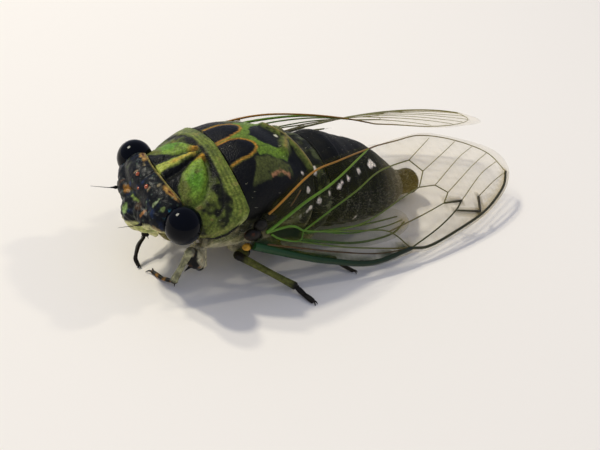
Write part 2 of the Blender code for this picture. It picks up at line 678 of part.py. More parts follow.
def stand_on_floor():
    """Colours each piece and tips the insect onto the floor, with the origin under its middle."""
    turn = Matrix.Rotation(HEAD_UP, 3, "Y") @ Matrix.Rotation(LEFT_DOWN, 3, "X")
    stance = bpy.data.objects.new("stance", None)
    bpy.data.collections["cicada"].objects.link(stance)
    shift = -(turn @ PIVOT) - BOX_CENTRE
    stance.matrix_world = Matrix.Translation(shift * MM) @ turn.to_4x4()
    words = {"eye": "eye", "antenna": "bristle", "beak": "bristle", "head": "head", "operculum": "underside",
             "forewing": "wing", "hindwing": "wing"}
    for thing in bpy.data.collections["cicada"].objects:
        if thing.type != "MESH":
            continue
        thing.parent = stance
        colour = BODY_COLOURS.get(thing.name) or words.get(thing.name.split("_")[0], "leg")
        thing.data.materials.clear()
        thing.data.materials.append(material(colour))
        thing.data.shade_smooth()
        thing.data.set_sharp_from_angle(angle=radians(40))


def main():
    start_scene()
    make_head()
    make_eyes()
    make_body()
    thorax = [body_cutter(name) for name in ("pronotum", "prosternum", "mesothorax", "metathorax", "abdomen")]
    make_antennae()
    make_beak(thorax[1:3])
    make_opercula(thorax[2:])
    for name, points in LEGS.items():
        make_leg(name, points, thorax[1:4])
    make_wings(thorax)
    stand_on_floor()


main()
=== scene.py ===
import math

import bmesh
import bpy
import numpy as np
from mathutils import Matrix, Vector
from mathutils.geometry import delaunay_2d_cdt


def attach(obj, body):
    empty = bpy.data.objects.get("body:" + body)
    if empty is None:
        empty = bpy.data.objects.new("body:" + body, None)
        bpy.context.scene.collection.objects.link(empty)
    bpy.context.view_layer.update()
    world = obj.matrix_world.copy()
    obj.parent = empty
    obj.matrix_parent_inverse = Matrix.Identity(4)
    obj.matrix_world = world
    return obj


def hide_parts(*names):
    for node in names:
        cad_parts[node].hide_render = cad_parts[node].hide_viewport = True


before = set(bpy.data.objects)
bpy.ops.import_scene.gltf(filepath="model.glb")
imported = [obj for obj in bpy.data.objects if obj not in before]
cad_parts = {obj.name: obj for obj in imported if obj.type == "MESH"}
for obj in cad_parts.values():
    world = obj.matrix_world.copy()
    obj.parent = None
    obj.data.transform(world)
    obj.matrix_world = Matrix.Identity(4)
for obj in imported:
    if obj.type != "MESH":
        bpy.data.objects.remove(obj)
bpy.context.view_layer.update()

# The insect's own frame is in millimetres: x back from the face, y to its right, z up.
# These values tip it onto the floor and put the origin under its middle.
stance = {"headUp": 5, "leftDown": 4, "pivot": (9, 0, 0.3), "boxCentre": (12.37, -0.12, 0)}
gapHalf = 0.05  # plates nearly touch in life
headUp, leftDown = math.radians(stance["headUp"]), math.radians(stance["leftDown"])
turn = np.array(Matrix.Rotation(headUp, 3, "Y") @ Matrix.Rotation(leftDown, 3, "X"))
shift = -turn @ np.array(stance["pivot"]) - np.array(stance["boxCentre"])


def toRow(points):
    # from the insect's frame to the model's, in metres
    return (np.asarray(points, float) @ turn.T + shift) * 0.001


def toInsect(points):
    return (points * 1000 - shift) @ turn


def floorHeight(x, y):
    # the floor seen from the insect's tipped frame
    px, _, pz = stance["pivot"]
    return pz + math.tan(headUp) * (x - px) - math.tan(leftDown) / math.cos(headUp) * y


def linear(hexColour):
    values = [int(hexColour[i:i + 2], 16) / 255 for i in (1, 3, 5)]
    return np.array([v / 12.92 if v <= 0.04045 else ((v + 0.055) / 1.055) ** 2.4 for v in values])


def smoothRow(rows, t):
    # rows start with their own t; the rest is eased through all rows
    rows, t = np.asarray(rows, float), np.asarray(t, float)
    i = np.clip(np.searchsorted(rows[:, 0], t, side="right") - 1, 0, len(rows) - 2)
    p0, p1, p2, p3 = rows[np.maximum(i - 1, 0)], rows[i], rows[i + 1], rows[np.minimum(i + 2, len(rows) - 1)]
    span = (p2 - p1)[:, :1]
    s = (t[:, None] - p1[:, :1]) / span
    m1 = (p2 - p0)[:, 1:] / (p2 - p0)[:, :1] * span
    m2 = (p3 - p1)[:, 1:] / (p3 - p1)[:, :1] * span
    return ((2 * s**3 - 3 * s**2 + 1) * p1[:, 1:] + (s**3 - 2 * s**2 + s) * m1
            + (3 * s**2 - 2 * s**3) * p2[:, 1:] + (s**3 - s**2) * m2)


def smoothLine(points, step):
    points = np.asarray(points, float)
    counts = [max(1, round(float(np.linalg.norm(b - a)) / step)) for a, b in zip(points, points[1:])]
    t = np.concatenate([k + np.arange(n) / n for k, n in enumerate(counts)] + [[len(points) - 1.0]])
    return smoothRow(np.column_stack([np.arange(len(points)), points]), t)


def unit(v):
    return v / np.linalg.norm(v)


def ease(value, low, high):
    s = np.clip((value - low) / (high - low), 0, 1)
    return s * s * (3 - 2 * s)


def soft(distance, edge=0.12):
    # 1 inside, 0 outside, with a short fade
    return np.clip(0.5 - distance / edge, 0, 1)


def wobble(p, size, seed=0):
    # cloudy noise of about -1 to 1, with blobs of about the given size in millimetres
    total = np.zeros(len(p))
    for finer, share in ((1.0, 1.0), (2.3, 0.45)):
        q = p * finer / size + seed * 7.31
        cell = np.floor(q).astype(np.int64)
        f = q - cell
        f = f * f * (3 - 2 * f)
        for corner in np.ndindex(2, 2, 2):
            n = (cell + corner) @ np.array([73856093, 19349663, 83492791])
            n = (n ^ (n >> 13)) * 1274126177
            level = ((n ^ (n >> 16)) & 65535) / 32767.5 - 1
            total += share * level * np.prod(np.where(corner, f, 1 - f), axis=1)
    return total


def lineDistance(p, line):
    # distance from flat points to a broken line, and how far along it the nearest place is
    best, where = np.full(len(p), 1e9), np.zeros(len(p))
    line = np.asarray(line, float)
    for k, (a, b) in enumerate(zip(line, line[1:])):
        s = np.clip(((p - a) @ (b - a)) / ((b - a) @ (b - a)), 0, 1)
        d = np.linalg.norm(p - a - s[:, None] * (b - a), axis=1)
        near = d < best
        best[near], where[near] = d[near], (k + s[near]) / (len(line) - 1)
    return best, where


def patchDistance(p, outline):
    # less than 0 inside a closed outline
    closed = np.asarray([*outline, outline[0]], float)
    inside = np.zeros(len(p), bool)
    for a, b in zip(closed, closed[1:]):
        with np.errstate(divide="ignore", invalid="ignore"):
            x = (b[0] - a[0]) * (p[:, 1] - a[1]) / (b[1] - a[1]) + a[0]
        inside ^= ((a[1] > p[:, 1]) != (b[1] > p[:, 1])) & (p[:, 0] < x)
    d = lineDistance(p, closed)[0]
    return np.where(inside, -d, d)


def wavyFlat(p):
    # places seen from above, folded onto one side and shaken a little, so that no edge is ruled
    return (np.column_stack([p[:, 0], np.abs(p[:, 1])])
            + 0.05 * np.column_stack([wobble(p, 0.5, 1), wobble(p, 0.45, 2)]))


def layered(colours, *layers):
    # each layer is a mask, a colour and, where it isn't 1, a strength; a hex colour starts a plain coat
    if isinstance(colours, str):
        colours = np.tile(linear(colours), (len(layers[0][0]), 1))
    for mask, hexColour, *strength in layers:
        mask = np.reshape(np.clip(mask, 0, 1) * (strength or [1])[0], (-1, 1))
        colours = colours * (1 - mask) + linear(hexColour) * mask
    return colours


def withPaintedGlints(colours, p, glintSpots):
    # painted highlights: small white spots where glints shine, as place, distance from the midline, height
    # and size
    for x, across, level, size in glintSpots:
        gap = np.sqrt((p[:, 0] - x) ** 2 + (np.abs(p[:, 1]) - across) ** 2 + ((p[:, 2] - level) * 0.8) ** 2)
        colours = layered(colours, (soft(gap - size + 0.1 * wobble(p, 0.28, x), 0.1), "#fff2e0"))
    return colours


# Materials

def addNode(tree, kind, links=(), feeds=None, **settings):
    # links are (input, node or socket), where a node stands for its first output; feeds is the
    # input that this node's first output goes to; settings are inputs or node properties, with
    # colours as hex
    node = tree.nodes.new(kind)
    for name, value in settings.items():
        if name in node.inputs:
            node.inputs[name].default_value = (*linear(value), 1) if str(value).startswith("#") else value
        else:
            setattr(node, name, value)
    for name, source in links:
        tree.links.new(getattr(source, "outputs", [source])[0], node.inputs[name])
    if feeds:
        tree.links.new(node.outputs[0], feeds)
    return node


def newMaterial(name, **shaderValues):
    made = bpy.data.materials.new(name)
    made.use_nodes = True
    shader = made.node_tree.nodes["Principled BSDF"]
    for key, value in shaderValues.items():
        shader.inputs[key].default_value = (*linear(value), 1) if isinstance(value, str) else value
    return made, made.node_tree, shader.inputs


def cuticle(name, roughness, bumpDepth, pitSize, mottle=0.35, gloss=0.5, stain=0):
    # horny insect shell, hardened as it was moulded: the eye sees painted colour broken up by
    # speckle and dark blots, and tiny pits that break up the gloss; sizes in millimetres
    made, tree, shader = newMaterial(name, IOR=1.36, **{"Specular IOR Level": gloss})
    place = addNode(tree, "ShaderNodeTexCoord").outputs["Object"]
    paint = addNode(tree, "ShaderNodeAttribute", attribute_name="paint")
    speckle = addNode(tree, "ShaderNodeTexNoise", [("Vector", place)], Scale=1000 / 0.22, Detail=5,
                      Roughness=0.65)
    shade = addNode(tree, "ShaderNodeMapRange", [("Value", speckle)],
                    **{"From Min": 0.3, "From Max": 0.7, "To Min": 1 - mottle, "To Max": 1 + mottle})
    mixed = addNode(tree, "ShaderNodeVectorMath", [(0, paint), (1, shade)], operation="MULTIPLY")
    blots = addNode(tree, "ShaderNodeTexNoise", [("Vector", place)], Scale=1000 / 0.55, Detail=6,
                    Roughness=0.75)
    dark = addNode(tree, "ShaderNodeMapRange", [("Value", blots)],
                   **{"From Min": 0.5, "From Max": 0.64, "To Max": stain})
    addNode(tree, "ShaderNodeMixRGB", [("Fac", dark), ("Color1", mixed)], shader["Base Color"],
            Color2="#1c1a0c")
    addNode(tree, "ShaderNodeMapRange", [("Value", speckle)], shader["Roughness"],
            **{"To Min": roughness - 0.1, "To Max": roughness + 0.14})
    pits = addNode(tree, "ShaderNodeTexVoronoi", [("Vector", place)], Scale=1000 / pitSize)
    height = addNode(tree, "ShaderNodeMath", [(0, pits), (1, speckle)])
    addNode(tree, "ShaderNodeBump", [("Height", height)], shader["Normal"], Strength=0.6,
            Distance=bumpDepth * 0.001)
    return made


# roughness, depth and size of the pits, mottling, gloss and dark stain
# thorax plates: wrinkled, half gloss
shellSatin = cuticle("cuticleSatin", 0.42, 0.05, 0.14, 0.55, 0.25, 0.32)
shellDark = cuticle("cuticleDark", 0.34, 0.012, 0.12, 0.6, 0.25, 0.4)  # head: smoother black, fine relief
shellDusty = cuticle("cuticleDusty", 0.5, 0.04, 0.1, 0.7, 0.2, 0.5)  # abdomen: dull, as under a grey bloom
legShell = cuticle("cuticleLeg", 0.38, 0.02, 0.1, 0.5, 0.3, 0.4)  # legs and underside: smooth and a bit shiny
veinShell = cuticle("wingVein", 0.34, 0.008, 0.12, 0.2)  # veins: even in colour, with a thin line of shine
print("materials ready")


# Meshes

def newObject(name, data):
    made = bpy.data.objects.new(name, data)
    bpy.context.scene.collection.objects.link(made)
    return made


def mark(mesh, name, values):
    # one number or one colour for each point
    kind, field = ("FLOAT", "value") if np.ndim(values) == 1 else ("FLOAT_COLOR", "color")
    mesh.attributes.new(name, kind, "POINT").data.foreach_set(field, np.ravel(values).astype(np.float32))


def meshFrom(name, points, faces, material, paint=None, place=toRow):
    mesh = bpy.data.meshes.new(name)
    mesh.from_pydata(place(points).tolist(), [], [tuple(f) for f in faces])
    if paint is not None:
        mark(mesh, "paint", np.column_stack([paint, np.ones(len(paint))])[:, :4])
    mesh.shade_smooth()
    mesh.materials.append(material)
    mesh.validate()
    return newObject(name, mesh)


def evaluatedMesh(piece):
    bpy.context.view_layer.update()
    return bpy.data.meshes.new_from_object(piece.evaluated_get(bpy.context.evaluated_depsgraph_get()))


def readVectors(data, field):
    values = np.empty(len(data) * 3)
    data.foreach_get(field, values)
    return values.reshape(-1, 3)


def finishPiece(piece, slotName, *nodes):
    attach(piece, "root")
    if nodes:
        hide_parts(*nodes)
    return piece


def gridFaces(rings, segments):
    i, k = np.meshgrid(np.arange(rings - 1), np.arange(segments), indexing="ij")
    a, b = i * segments + k, i * segments + (k + 1) % segments
    return np.stack([a, b, b + segments, a + segments], -1).reshape(-1, 4).tolist()


def tubeParts(points, radii, squash=1, sides=16):
    # a closed limb: rings square to the path, with rounded ends
    points, radii = np.asarray(points, float), np.asarray(radii, float)
    first, last = unit(points[0] - points[1]) * radii[0], unit(points[-1] - points[-2]) * radii[-1]
    points = np.vstack([points[0] + first * 0.45, points[0] + first * 0.3, points,
                        points[-1] + last * 0.3, points[-1] + last * 0.45])
    radii = np.concatenate([radii[0] * np.array([0.25, 0.72]), radii, radii[-1] * np.array([0.72, 0.25])])
    ahead = np.gradient(points, axis=0)
    ahead /= np.linalg.norm(ahead, axis=1)[:, None]
    side = unit(np.cross(ahead[0], (0, 0, 1)))
    angles = np.arange(sides) * 2 * np.pi / sides
    rings = []
    for p, a, r in zip(points, ahead, radii):
        side = unit(side - a * (side @ a))
        rings.append(p + r * (np.cos(angles)[:, None] * side * squash
                              + np.sin(angles)[:, None] * np.cross(a, side)))
    count = len(rings) * sides
    ends = [tuple(range(sides))[::-1], tuple(range(count - sides, count))]
    return np.vstack(rings), gridFaces(len(rings), sides) + ends


def ballParts(centre, radii, segments=48, rings=32):
    lat = np.linspace(-np.pi / 2, np.pi / 2, rings + 1)[1:-1, None]
    lon = np.arange(segments) * 2 * np.pi / segments
    x, y = np.cos(lat) * np.cos(lon), np.cos(lat) * np.sin(lon)
    verts = np.stack([x, y, np.sin(lat) + 0 * x], -1).reshape(-1, 3)
    verts = np.vstack([verts, [[0, 0, -1]], [[0, 0, 1]]]) * np.asarray(radii) + np.asarray(centre)
    low, top = len(verts) - 2, len(verts) - 2 - segments
    faces = gridFaces(rings - 1, segments)
    faces += [((k + 1) % segments, k, low) for k in range(segments)]
    return verts, faces + [(top + k, top + (k + 1) % segments, low + 1) for k in range(segments)]


def joinParts(parts):
    faces, base = [], 0
    for v, f in parts:
        faces += [tuple(i + base for i in face) for face in f]
        base += len(v)
    return np.vstack([v for v, _ in parts]), faces


def outward(piece):
    bm = bmesh.new()
    bm.from_mesh(piece.data)
    bmesh.ops.recalc_face_normals(bm, faces=bm.faces)
    bm.to_mesh(piece.data)
    bm.free()
    return piece


# Faces between the body plates, as x at a place across the body

def neckFace(y, z):
    return 2.55 + 0.055 * y * y + 0.12 * (9 - z)


def collarFace(y, z):
    return 7.2 + 0.019 * y * y - 0.85 * np.maximum(0, 8.4 - z) * np.minimum(1, (y / 5.85) ** 2)


def scutellumFace(y, z):
    return 15.2 - 0.012 * y * y + 0.05 * (10 - z)


def waistFace(y, z):
    return 17 + 0.05 * (10 - z)


def tailFace(y, z):
    return 29.3 + 0.1 * (4 - z)


def bodyPlate(name, slotName, node, shell, paint, front, back, rows, rings, segments, relief, upper=2,
              lower=2):
    # a closed length of body; rows are place, half width, top, widest level and bottom
    t = np.linspace(0, 1, rings)
    half, top, side, bottom = smoothRow(rows, t).T[:, :, None]
    angle = (np.arange(segments) * 2 * np.pi / segments)[None, :]
    c, s = np.cos(angle), np.sin(angle)
    power = np.where(s > 0, 2 / upper, 2 / lower)
    rise = np.abs(s) ** power
    y = half * np.abs(c) ** power * np.sign(c)
    z = np.where(s > 0, side + (top - side) * rise, side - (side - bottom) * rise)
    t, side = t[:, None] + 0 * y, (side + 0 * y).ravel()
    x = (1 - t) * (front(y, z) + gapHalf) + t * (back(y, z) - gapHalf)
    verts = np.stack([x, y, z], -1).reshape(-1, 3)
    swell = 1 + relief(verts, t.ravel()) / np.hypot(verts[:, 1], verts[:, 2] - side)
    verts[:, 1] *= swell
    verts[:, 2] = side + (verts[:, 2] - side) * swell
    faces = gridFaces(rings, segments)
    # the two ends are closed by rings that follow the face between the plates
    ends = (0, front, rows[0][3], 1), (segments * (rings - 1), back, rows[-1][3], -1)
    for first, face, level, way in ends:
        rim, prior = verts[first:first + segments], np.arange(first, first + segments)
        for scale in (0.9, 0.6, 0.3):
            yy, zz = rim[:, 1] * scale, level + (rim[:, 2] - level) * scale
            inner = np.arange(len(verts), len(verts) + segments)
            verts = np.vstack([verts, np.stack([face(yy, zz) + way * gapHalf, yy, zz], -1)])
            faces += np.stack([prior, inner, np.roll(inner, -1), np.roll(prior, -1)], -1)[:, ::way].tolist()
            prior = inner
        faces += np.stack([prior, len(verts) + 0 * prior, np.roll(prior, -1)], -1)[:, ::way].tolist()
        verts = np.vstack([verts, [[face(0, level) + way * gapHalf, 0, level]]])
    finishPiece(meshFrom(name, verts, faces, shell, paint(verts)), slotName, node)
    print(name, len(verts))


# Pronotum: the shield behind the head, with its collar band, furrows and side lobes
pronotum = {
    "rows": [(0, 4.35, 8.95, 6.9, 4.9), (0.35, 5.05, 9.65, 6.9, 4.8), (0.7, 5.6, 10.35, 7.3, 4.9),
             (1, 5.9, 10.75, 7.9, 5.2)],
    "collarWidth": 1.02, "collarFlare": 0.7, "collarRise": 0.13, "furrowDepth": 0.34, "lobeRise": 0.14,
    "stripe": [(2.6, 0), (3.4, 0), (4.4, 0), (5.4, 0)],
    "furrows": [[(2.9, 1.1), (3.7, 1), (4.8, 0.62), (5.9, 0.15)],
                [(3.7, 3.9), (4.6, 3.7), (5.3, 3.1), (5.75, 2.2), (5.95, 1)]],
    "lobe": [(5.95, 0.12), (6.12, 0.5), (6, 1.3), (5.75, 2.1), (5.45, 2.85), (5.05, 3.4), (4.5, 3.7),
             (3.7, 3.55), (3.25, 3), (3.35, 2.1), (3.9, 1.35), (4.65, 0.82), (5.3, 0.42)],
    "wedge": [(2.6, 0.42), (3.5, 0.46), (4.4, 0.38), (5.2, 0.24), (5.9, 0.1), (5.4, 0.42), (4.8, 0.82),
              (4.1, 1.25), (3.65, 1.9), (3.45, 2.7), (3, 3), (2.6, 2.2)],
    "clouds": [[(5.5, 9.7), (5.9, 9.3), (6.1, 8.9)], [(3.9, 6.6), (4.4, 5.9), (5.3, 5.6), (6, 5.9)],
               [(6.2, 8.6), (6, 7.8), (5.9, 7.2)]],
    "backBand": [(6, 0), (6.35, 0), (6.3, 1.5), (6.25, 2.4), (6.1, 3.1), (5.6, 3.9), (5.4, 3.5),
                 (5.85, 2.4), (6.05, 1.3), (6.2, 0.5)],
}


def pronotumRelief(p, t):
    d = pronotum
    x, y, z = p[:, 0], np.abs(p[:, 1]), p[:, 2]
    flat = np.column_stack([x, y])
    fromEdge = collarFace(y, z) - x
    width = d["collarWidth"] + d["collarFlare"] * ease(y, 3, 5.6)
    front = ease(fromEdge, width, width + 0.3)
    out = d["collarRise"] * ease(width + 0.12 - fromEdge, 0, 0.2)
    for line in d["furrows"]:
        gap = lineDistance(flat, smoothLine(line, 0.4))[0]
        out -= d["furrowDepth"] * np.exp(-(gap / 0.26) ** 2) * front * ease(z, 7, 8.4)
    out += d["lobeRise"] * ease(-patchDistance(flat, d["lobe"]), 0, 0.7) * ease(z, 7, 8.2)
    out += 0.06 * ease(0.5 - lineDistance(flat, d["stripe"])[0], 0, 0.4) * front
    out += (0.03 * wobble(p, 0.55, 2) + 0.02 * wobble(p, 0.3, 5)) * front
    out += 0.018 * np.sin(11 * x + 4 * y + wobble(p, 0.9, 1) * 2.5) * front
    high = ease(z, 5.2, 6.2) * ease(t, 0, 0.06) * ease(1 - t, 0, 0.02)
    return out * high + 0.02 * np.sin(7 * z + 3 * x) * ease(7.5 - z, 0, 1.5)


def pronotumPaint(p):
    d = pronotum
    x, y, z = p[:, 0], np.abs(p[:, 1]), p[:, 2]
    flat = wavyFlat(p)
    u, v = flat.T
    fromEdge = collarFace(y, z) - x + 0.04 * wobble(p, 0.6, 3)
    side = ease(8.4 - z, 0, 0.8)  # 1 on the steep flanks
    lobe = patchDistance(flat, d["lobe"]) + 0.1 * wobble(p, 0.7, 21)
    onLobe, lobeTip = soft(lobe, 0.2), np.hypot((u - 5.95) * 0.8, v - 0.5)
    across, along = lineDistance(flat, d["stripe"])
    width = d["collarWidth"] + d["collarFlare"] * ease(y, 3, 5.6)
    collar = soft(fromEdge - width, 0.1)
    streak = 0.5 + 0.5 * np.sin(fromEdge * 22 + 2 * wobble(p, 1.5, 5))
    c = layered(
        "#525c26", (0.2 + 0.9 * wobble(p, 1.3, 4), "#6f7c30"), (1.7 * wobble(p, 0.7, 9) - 0.25, "#191b0e"),
        (1.4 * wobble(p, 0.45, 15) - 0.75, "#8a7840"), (soft(patchDistance(flat, d["wedge"])), "#090b0c"),
        (onLobe * (1 - side), "#7a9434"),
        (soft(lobe + 0.3, 0.5) * ease(1.3 - np.hypot(u - 4.6, v - 2.3), 0, 1) * (1 - side), "#4f8222", 0.8),
        (onLobe * (1 - side) * (1.5 * wobble(p, 0.6, 19) - 0.55), "#59622a"),
        (onLobe * ease(4.1 - u + 0.4 * wobble(p, 0.6, 8), 0, 0.6), "#5c5a2a", 0.8),
        (soft(lobeTip - 0.5, 0.4) * onLobe, "#b07c28", 0.9),
        (soft(patchDistance(flat, d["backBand"])) * ease(3.3 - y, 0, 1), "#0a0c0c"),
        (soft(across - 0.42 + 0.3 * along, 0.1) * (u < 5.6), "#a6ae48"),
        (soft(across - 0.14, 0.2) * ease(along, 0.2, 0.5) * (u < 5.5), "#b8983c", 0.8),
        (collar, "#5e6c2a"), (collar * streak * (0.45 + 0.3 * wobble(p, 0.7, 41)), "#8f9642"),
        (collar * (1.4 * wobble(p, 0.9, 26) - 0.3), "#46502a", 0.8),
        (collar * (1.4 * wobble(p, 0.5, 31) - 0.7), "#9a8a50", 0.7),
        (collar * side * (0.4 + 0.5 * wobble(p, 0.8, 6)), "#4a5526"))
    for line in d["furrows"]:
        gap = lineDistance(flat, smoothLine(line, 0.4))[0]
        bare = (fromEdge > width) * ease(z, 7, 8.2) * ease(3.6 - y, 0, 1.2)
        c = layered(c, (np.exp(-(gap / 0.16) ** 2) * bare, "#0c0e08", 0.75))
    c = layered(c, (soft(np.abs(fromEdge - width - 0.12) - 0.07, 0.1) * (1 - 0.6 * side), "#0a0c0a"),
                (soft(fromEdge - 0.32, 0.2) * side * ease(z, 7.1, 7.6), "#a8ae66"))
    for cloud in d["clouds"]:
        gap = lineDistance(np.column_stack([u, z]), cloud)[0] + 0.25 * wobble(p, 0.5, 33) + 1.5 * (y < 3.2)
        c = layered(c, (ease(0.5 - gap, 0, 0.35) * (fromEdge > 0.9), "#0d0e0a", 0.9))
    rise = z - 5.4 - 0.98 * (x - 4.93)  # height over the lower edge as it runs up to the collar
    return layered(c, (soft(rise - 0.2 + 0.06 * wobble(p, 0.6, 3), 0.1) * (x < 6.9), "#090906"),
                   (soft(np.abs(rise - 0.5) - 0.16, 0.3) * (x < 6.5) * side, "#8a8a48", 0.6))


bodyPlate("pronotumShield", "green_cuticle", "pronotum", shellSatin, pronotumPaint, neckFace, collarFace,
          pronotum["rows"], 110, 260, pronotumRelief, 1.5, 3.6)

# Mesonotum and the side walls of the thorax that carries the wings
mesonotum = {
    "rows": [(0, 5.35, 10.7, 7.3, 1.9), (0.2, 5.4, 11.3, 7.1, 1.7), (0.5, 5.2, 11.35, 6.9, 1.6),
             (0.8, 4.95, 10.75, 6.5, 1.6), (1, 4.8, 10.2, 6.2, 1.7)],
    "crossPlace": 13.9, "crossArms": ((-1.15, 1.7), (1.1, 2.9)), "crossRise": 0.42,
    "teardrop": [(7, 0.2), (7.6, 0.14), (8.2, 0.16), (8.8, 0.34), (9.4, 0.62), (9.8, 1), (9.9, 1.45),
                 (9.5, 1.9), (8.9, 2.1), (8.2, 2.2), (7.6, 2.3), (7, 2.4)],
    "rimLine": [(7.2, 0.05), (8, 0.08), (8.8, 0.3), (9.5, 0.6), (9.98, 1.02), (10.05, 1.5), (9.6, 1.98),
                (8.9, 2.2), (8.2, 2.32), (7.5, 2.42)],
    "patches": [  # colour, then outline
        ("#667e2c", [(7.2, -0.1), (8, 0.1), (8.8, 0.32), (9.6, 0.62), (10.3, 0.95), (10.5, 0.6),
                     (10.1, -0.1)]),
        ("#617c26", [(9.6, 0.42), (10.3, 0.62), (10.9, 1.15), (11.6, 1.5), (12.4, 1.75), (12.9, 2.2),
                     (12.5, 2.7),
                    (11.4, 2.55), (10.6, 2.2), (9.9, 2.35), (9.8, 1.95), (10.1, 1.5), (10, 1)]),
        ("#08090a", [(9.9, -0.1), (10.4, 0.25), (10.9, 0.65), (11.5, 0.95), (12.1, 1), (12.4, 0.6),
                     (12.5, 0.2),
                    (12.5, -0.1)]),
        ("#08090a", [(7.2, 2.45), (8.2, 2.38), (9, 2.3), (9.4, 2.7), (9.1, 3.3), (8.7, 3.9), (8.3, 4.5),
                     (7.2, 4.7)]),
    ],
    "olive": [(9.5, 2.45), (10.6, 2.35), (11.6, 2.65), (12.6, 3), (12.7, 3.6), (11.8, 3.75), (10.6, 3.85),
              (9.4, 4.2), (8.6, 4.25), (8.8, 3.6), (9.3, 3)],
    # painted highlights on the thorax: white spots where glints shine
    "glintSpots": [(14.3, 4.31, 8.4, 0.22), (13.81, 3.47, 9.54, 0.12), (13.78, 4.91, 6.19, 0.18),
               (13.5, 4.95, 5.9, 0.12), (14.7, 4.79, 6.85, 0.2), (14.45, 4.85, 6.6, 0.12)],
    "pinkEdge": [(10.4, 3.85), (11, 3.65), (11.6, 3.6), (12.2, 3.7)],
}


def crossDistance(x, y):
    flat = np.column_stack([x - mesonotum["crossPlace"], y])
    return np.minimum(*[lineDistance(flat, [(0, 0), arm])[0] for arm in mesonotum["crossArms"]])


def mesonotumRelief(p, t):
    x, y, z = p[:, 0], np.abs(p[:, 1]), p[:, 2]
    out = mesonotum["crossRise"] * np.exp(-(crossDistance(x, y) / 0.48) ** 2) * ease(z, 7.5, 8.5)
    tear = patchDistance(np.column_stack([x, y]), mesonotum["teardrop"])
    out += 0.05 * ease(-tear, 0, 0.3) * ease(z, 8, 9)
    for fold, lean in ((8.6, 0.25), (11.8, 0.2)):  # long folds down the flank, under the wing's hinge
        away = (x - fold - lean * (7 - z)) / 0.28
        out -= 0.22 * np.exp(-away ** 2) * ease(7 - z, 0, 1) * ease(z, 2.2, 3.2)
    pit = np.hypot(x - 12.9, y - 2.6)  # in front of each arm of the cross
    return out - 0.15 * np.exp(-(pit / 0.5) ** 2) * ease(z, 8, 9)


def mesonotumPaint(p):
    d = mesonotum
    x, y, z = p[:, 0], np.abs(p[:, 1]), p[:, 2]
    flat = wavyFlat(p)
    flat[:, 1] += 0.06 * wobble(p, 1.2, 12)
    top, back = ease(z, 7.6, 8.6), x > 12.2
    olive = patchDistance(flat, d["olive"]) + 0.18 * wobble(p, 0.5, 22)
    rim = lineDistance(flat, d["rimLine"])[0]
    pink, along = lineDistance(flat, d["pinkEdge"])
    cross = crossDistance(x, y)
    c = layered(
        "#0a0b0a", (top * ease(y, 3.3, 3.5) * (flat[:, 0] < 8.6), "#10120c"),
        (soft(olive, 0.3) * top, "#4a4f26"),
        (soft(olive + 0.1, 0.3) * top * (1.5 * wobble(p, 0.45, 27) - 0.3), "#1d2112"),
        *[(soft(patchDistance(flat, outline)) * top, tint) for tint, outline in d["patches"]],
        (soft(rim - 0.17, 0.12) * top, "#6f7026", 0.8), (soft(rim - 0.08, 0.09) * top, "#a87428"),
        (soft(patchDistance(flat, d["teardrop"]), 0.08) * top, "#07080c"),
        (soft(pink - 0.02 - 0.1 * along - 0.14 * wobble(p, 0.3, 7), 0.2) * top, "#c48a60", 0.8),
        (soft(cross - 0.5 - 0.12 * wobble(p, 0.6, 4), 0.4) * top * (x > 12), "#5a6429"),
        (soft(cross - 0.14, 0.25) * top * back, "#8a7a3e"),
        (soft(cross - 0.6, 0.4) * top * back * (1.6 * wobble(p, 0.5, 35) - 0.2), "#22230f", 0.9),
        # painted highlight: a small pale spot on the midline in front of the cross, where a glint shines
        (soft(np.hypot(x - 12.9, p[:, 1] - 0.05) - 0.17, 0.1) * top, "#e8e4c8"))
    # flank: black plates with cream and green membranes, whitish bloom low down
    flank = 1 - ease(z, 6.4, 7.4)
    return layered(withPaintedGlints(c, p, d["glintSpots"]), (flank * (0.45 + 0.7 * wobble(p, 1.4, 5)), "#6d6f44"),
                   (flank * (wobble(p, 0.8, 6) - 0.1), "#b3a87c", 0.8),
                   (ease(4.9 - z + 0.4 * wobble(p, 0.6, 9), 0, 0.9), "#c9c19a", 0.85),
                   (ease(3.6 - z, 0, 1.2) * (wobble(p, 0.9, 8) - 0.1), "#5c5636"))


bodyPlate("mesonotumAndFlanks", "green_cuticle", "mesothorax", shellSatin, mesonotumPaint, collarFace,
          scutellumFace, mesonotum["rows"], 150, 280, mesonotumRelief, 2.1)

# Metanotum: the narrow ring behind the cross
metanotum = {
    "rows": [(0, 4.75, 9.75, 6, 1.8), (0.3, 4.85, 10, 5.9, 1.75), (0.75, 4.85, 9.95, 5.9, 1.75),
             (1, 4.75, 9.7, 5.9, 1.8)],
    # painted highlights on the ring: white spots where glints shine
    "glintSpots": [(15.52, 2.85, 9.16, 0.3), (15.65, 4.56, 7.29, 0.18), (16.75, 4.27, 7.74, 0.16)],
}


def metanotumRelief(p, t):
    return 0.08 * np.sin(t * np.pi) + 0.03 * np.sin(p[:, 1] * 5) * ease(p[:, 2], 8, 9)


def metanotumPaint(p):
    c = layered("#14160b", (1.6 * wobble(p, 0.6, 3) + 0.1, "#474d2c"), (soft(p[:, 0] - 15.6, 0.3), "#0d0e09"))
    return layered(withPaintedGlints(c, p, metanotum["glintSpots"]), (ease(6.5 - p[:, 2], 0, 2), "#15140f"),
                   (ease(3.2 - p[:, 2], 0, 1), "#a59c78"))


bodyPlate("metanotumRing", "green_cuticle", "metathorax", shellSatin, metanotumPaint, scutellumFace,
          waistFace,
          metanotum["rows"], 30, 200, metanotumRelief)

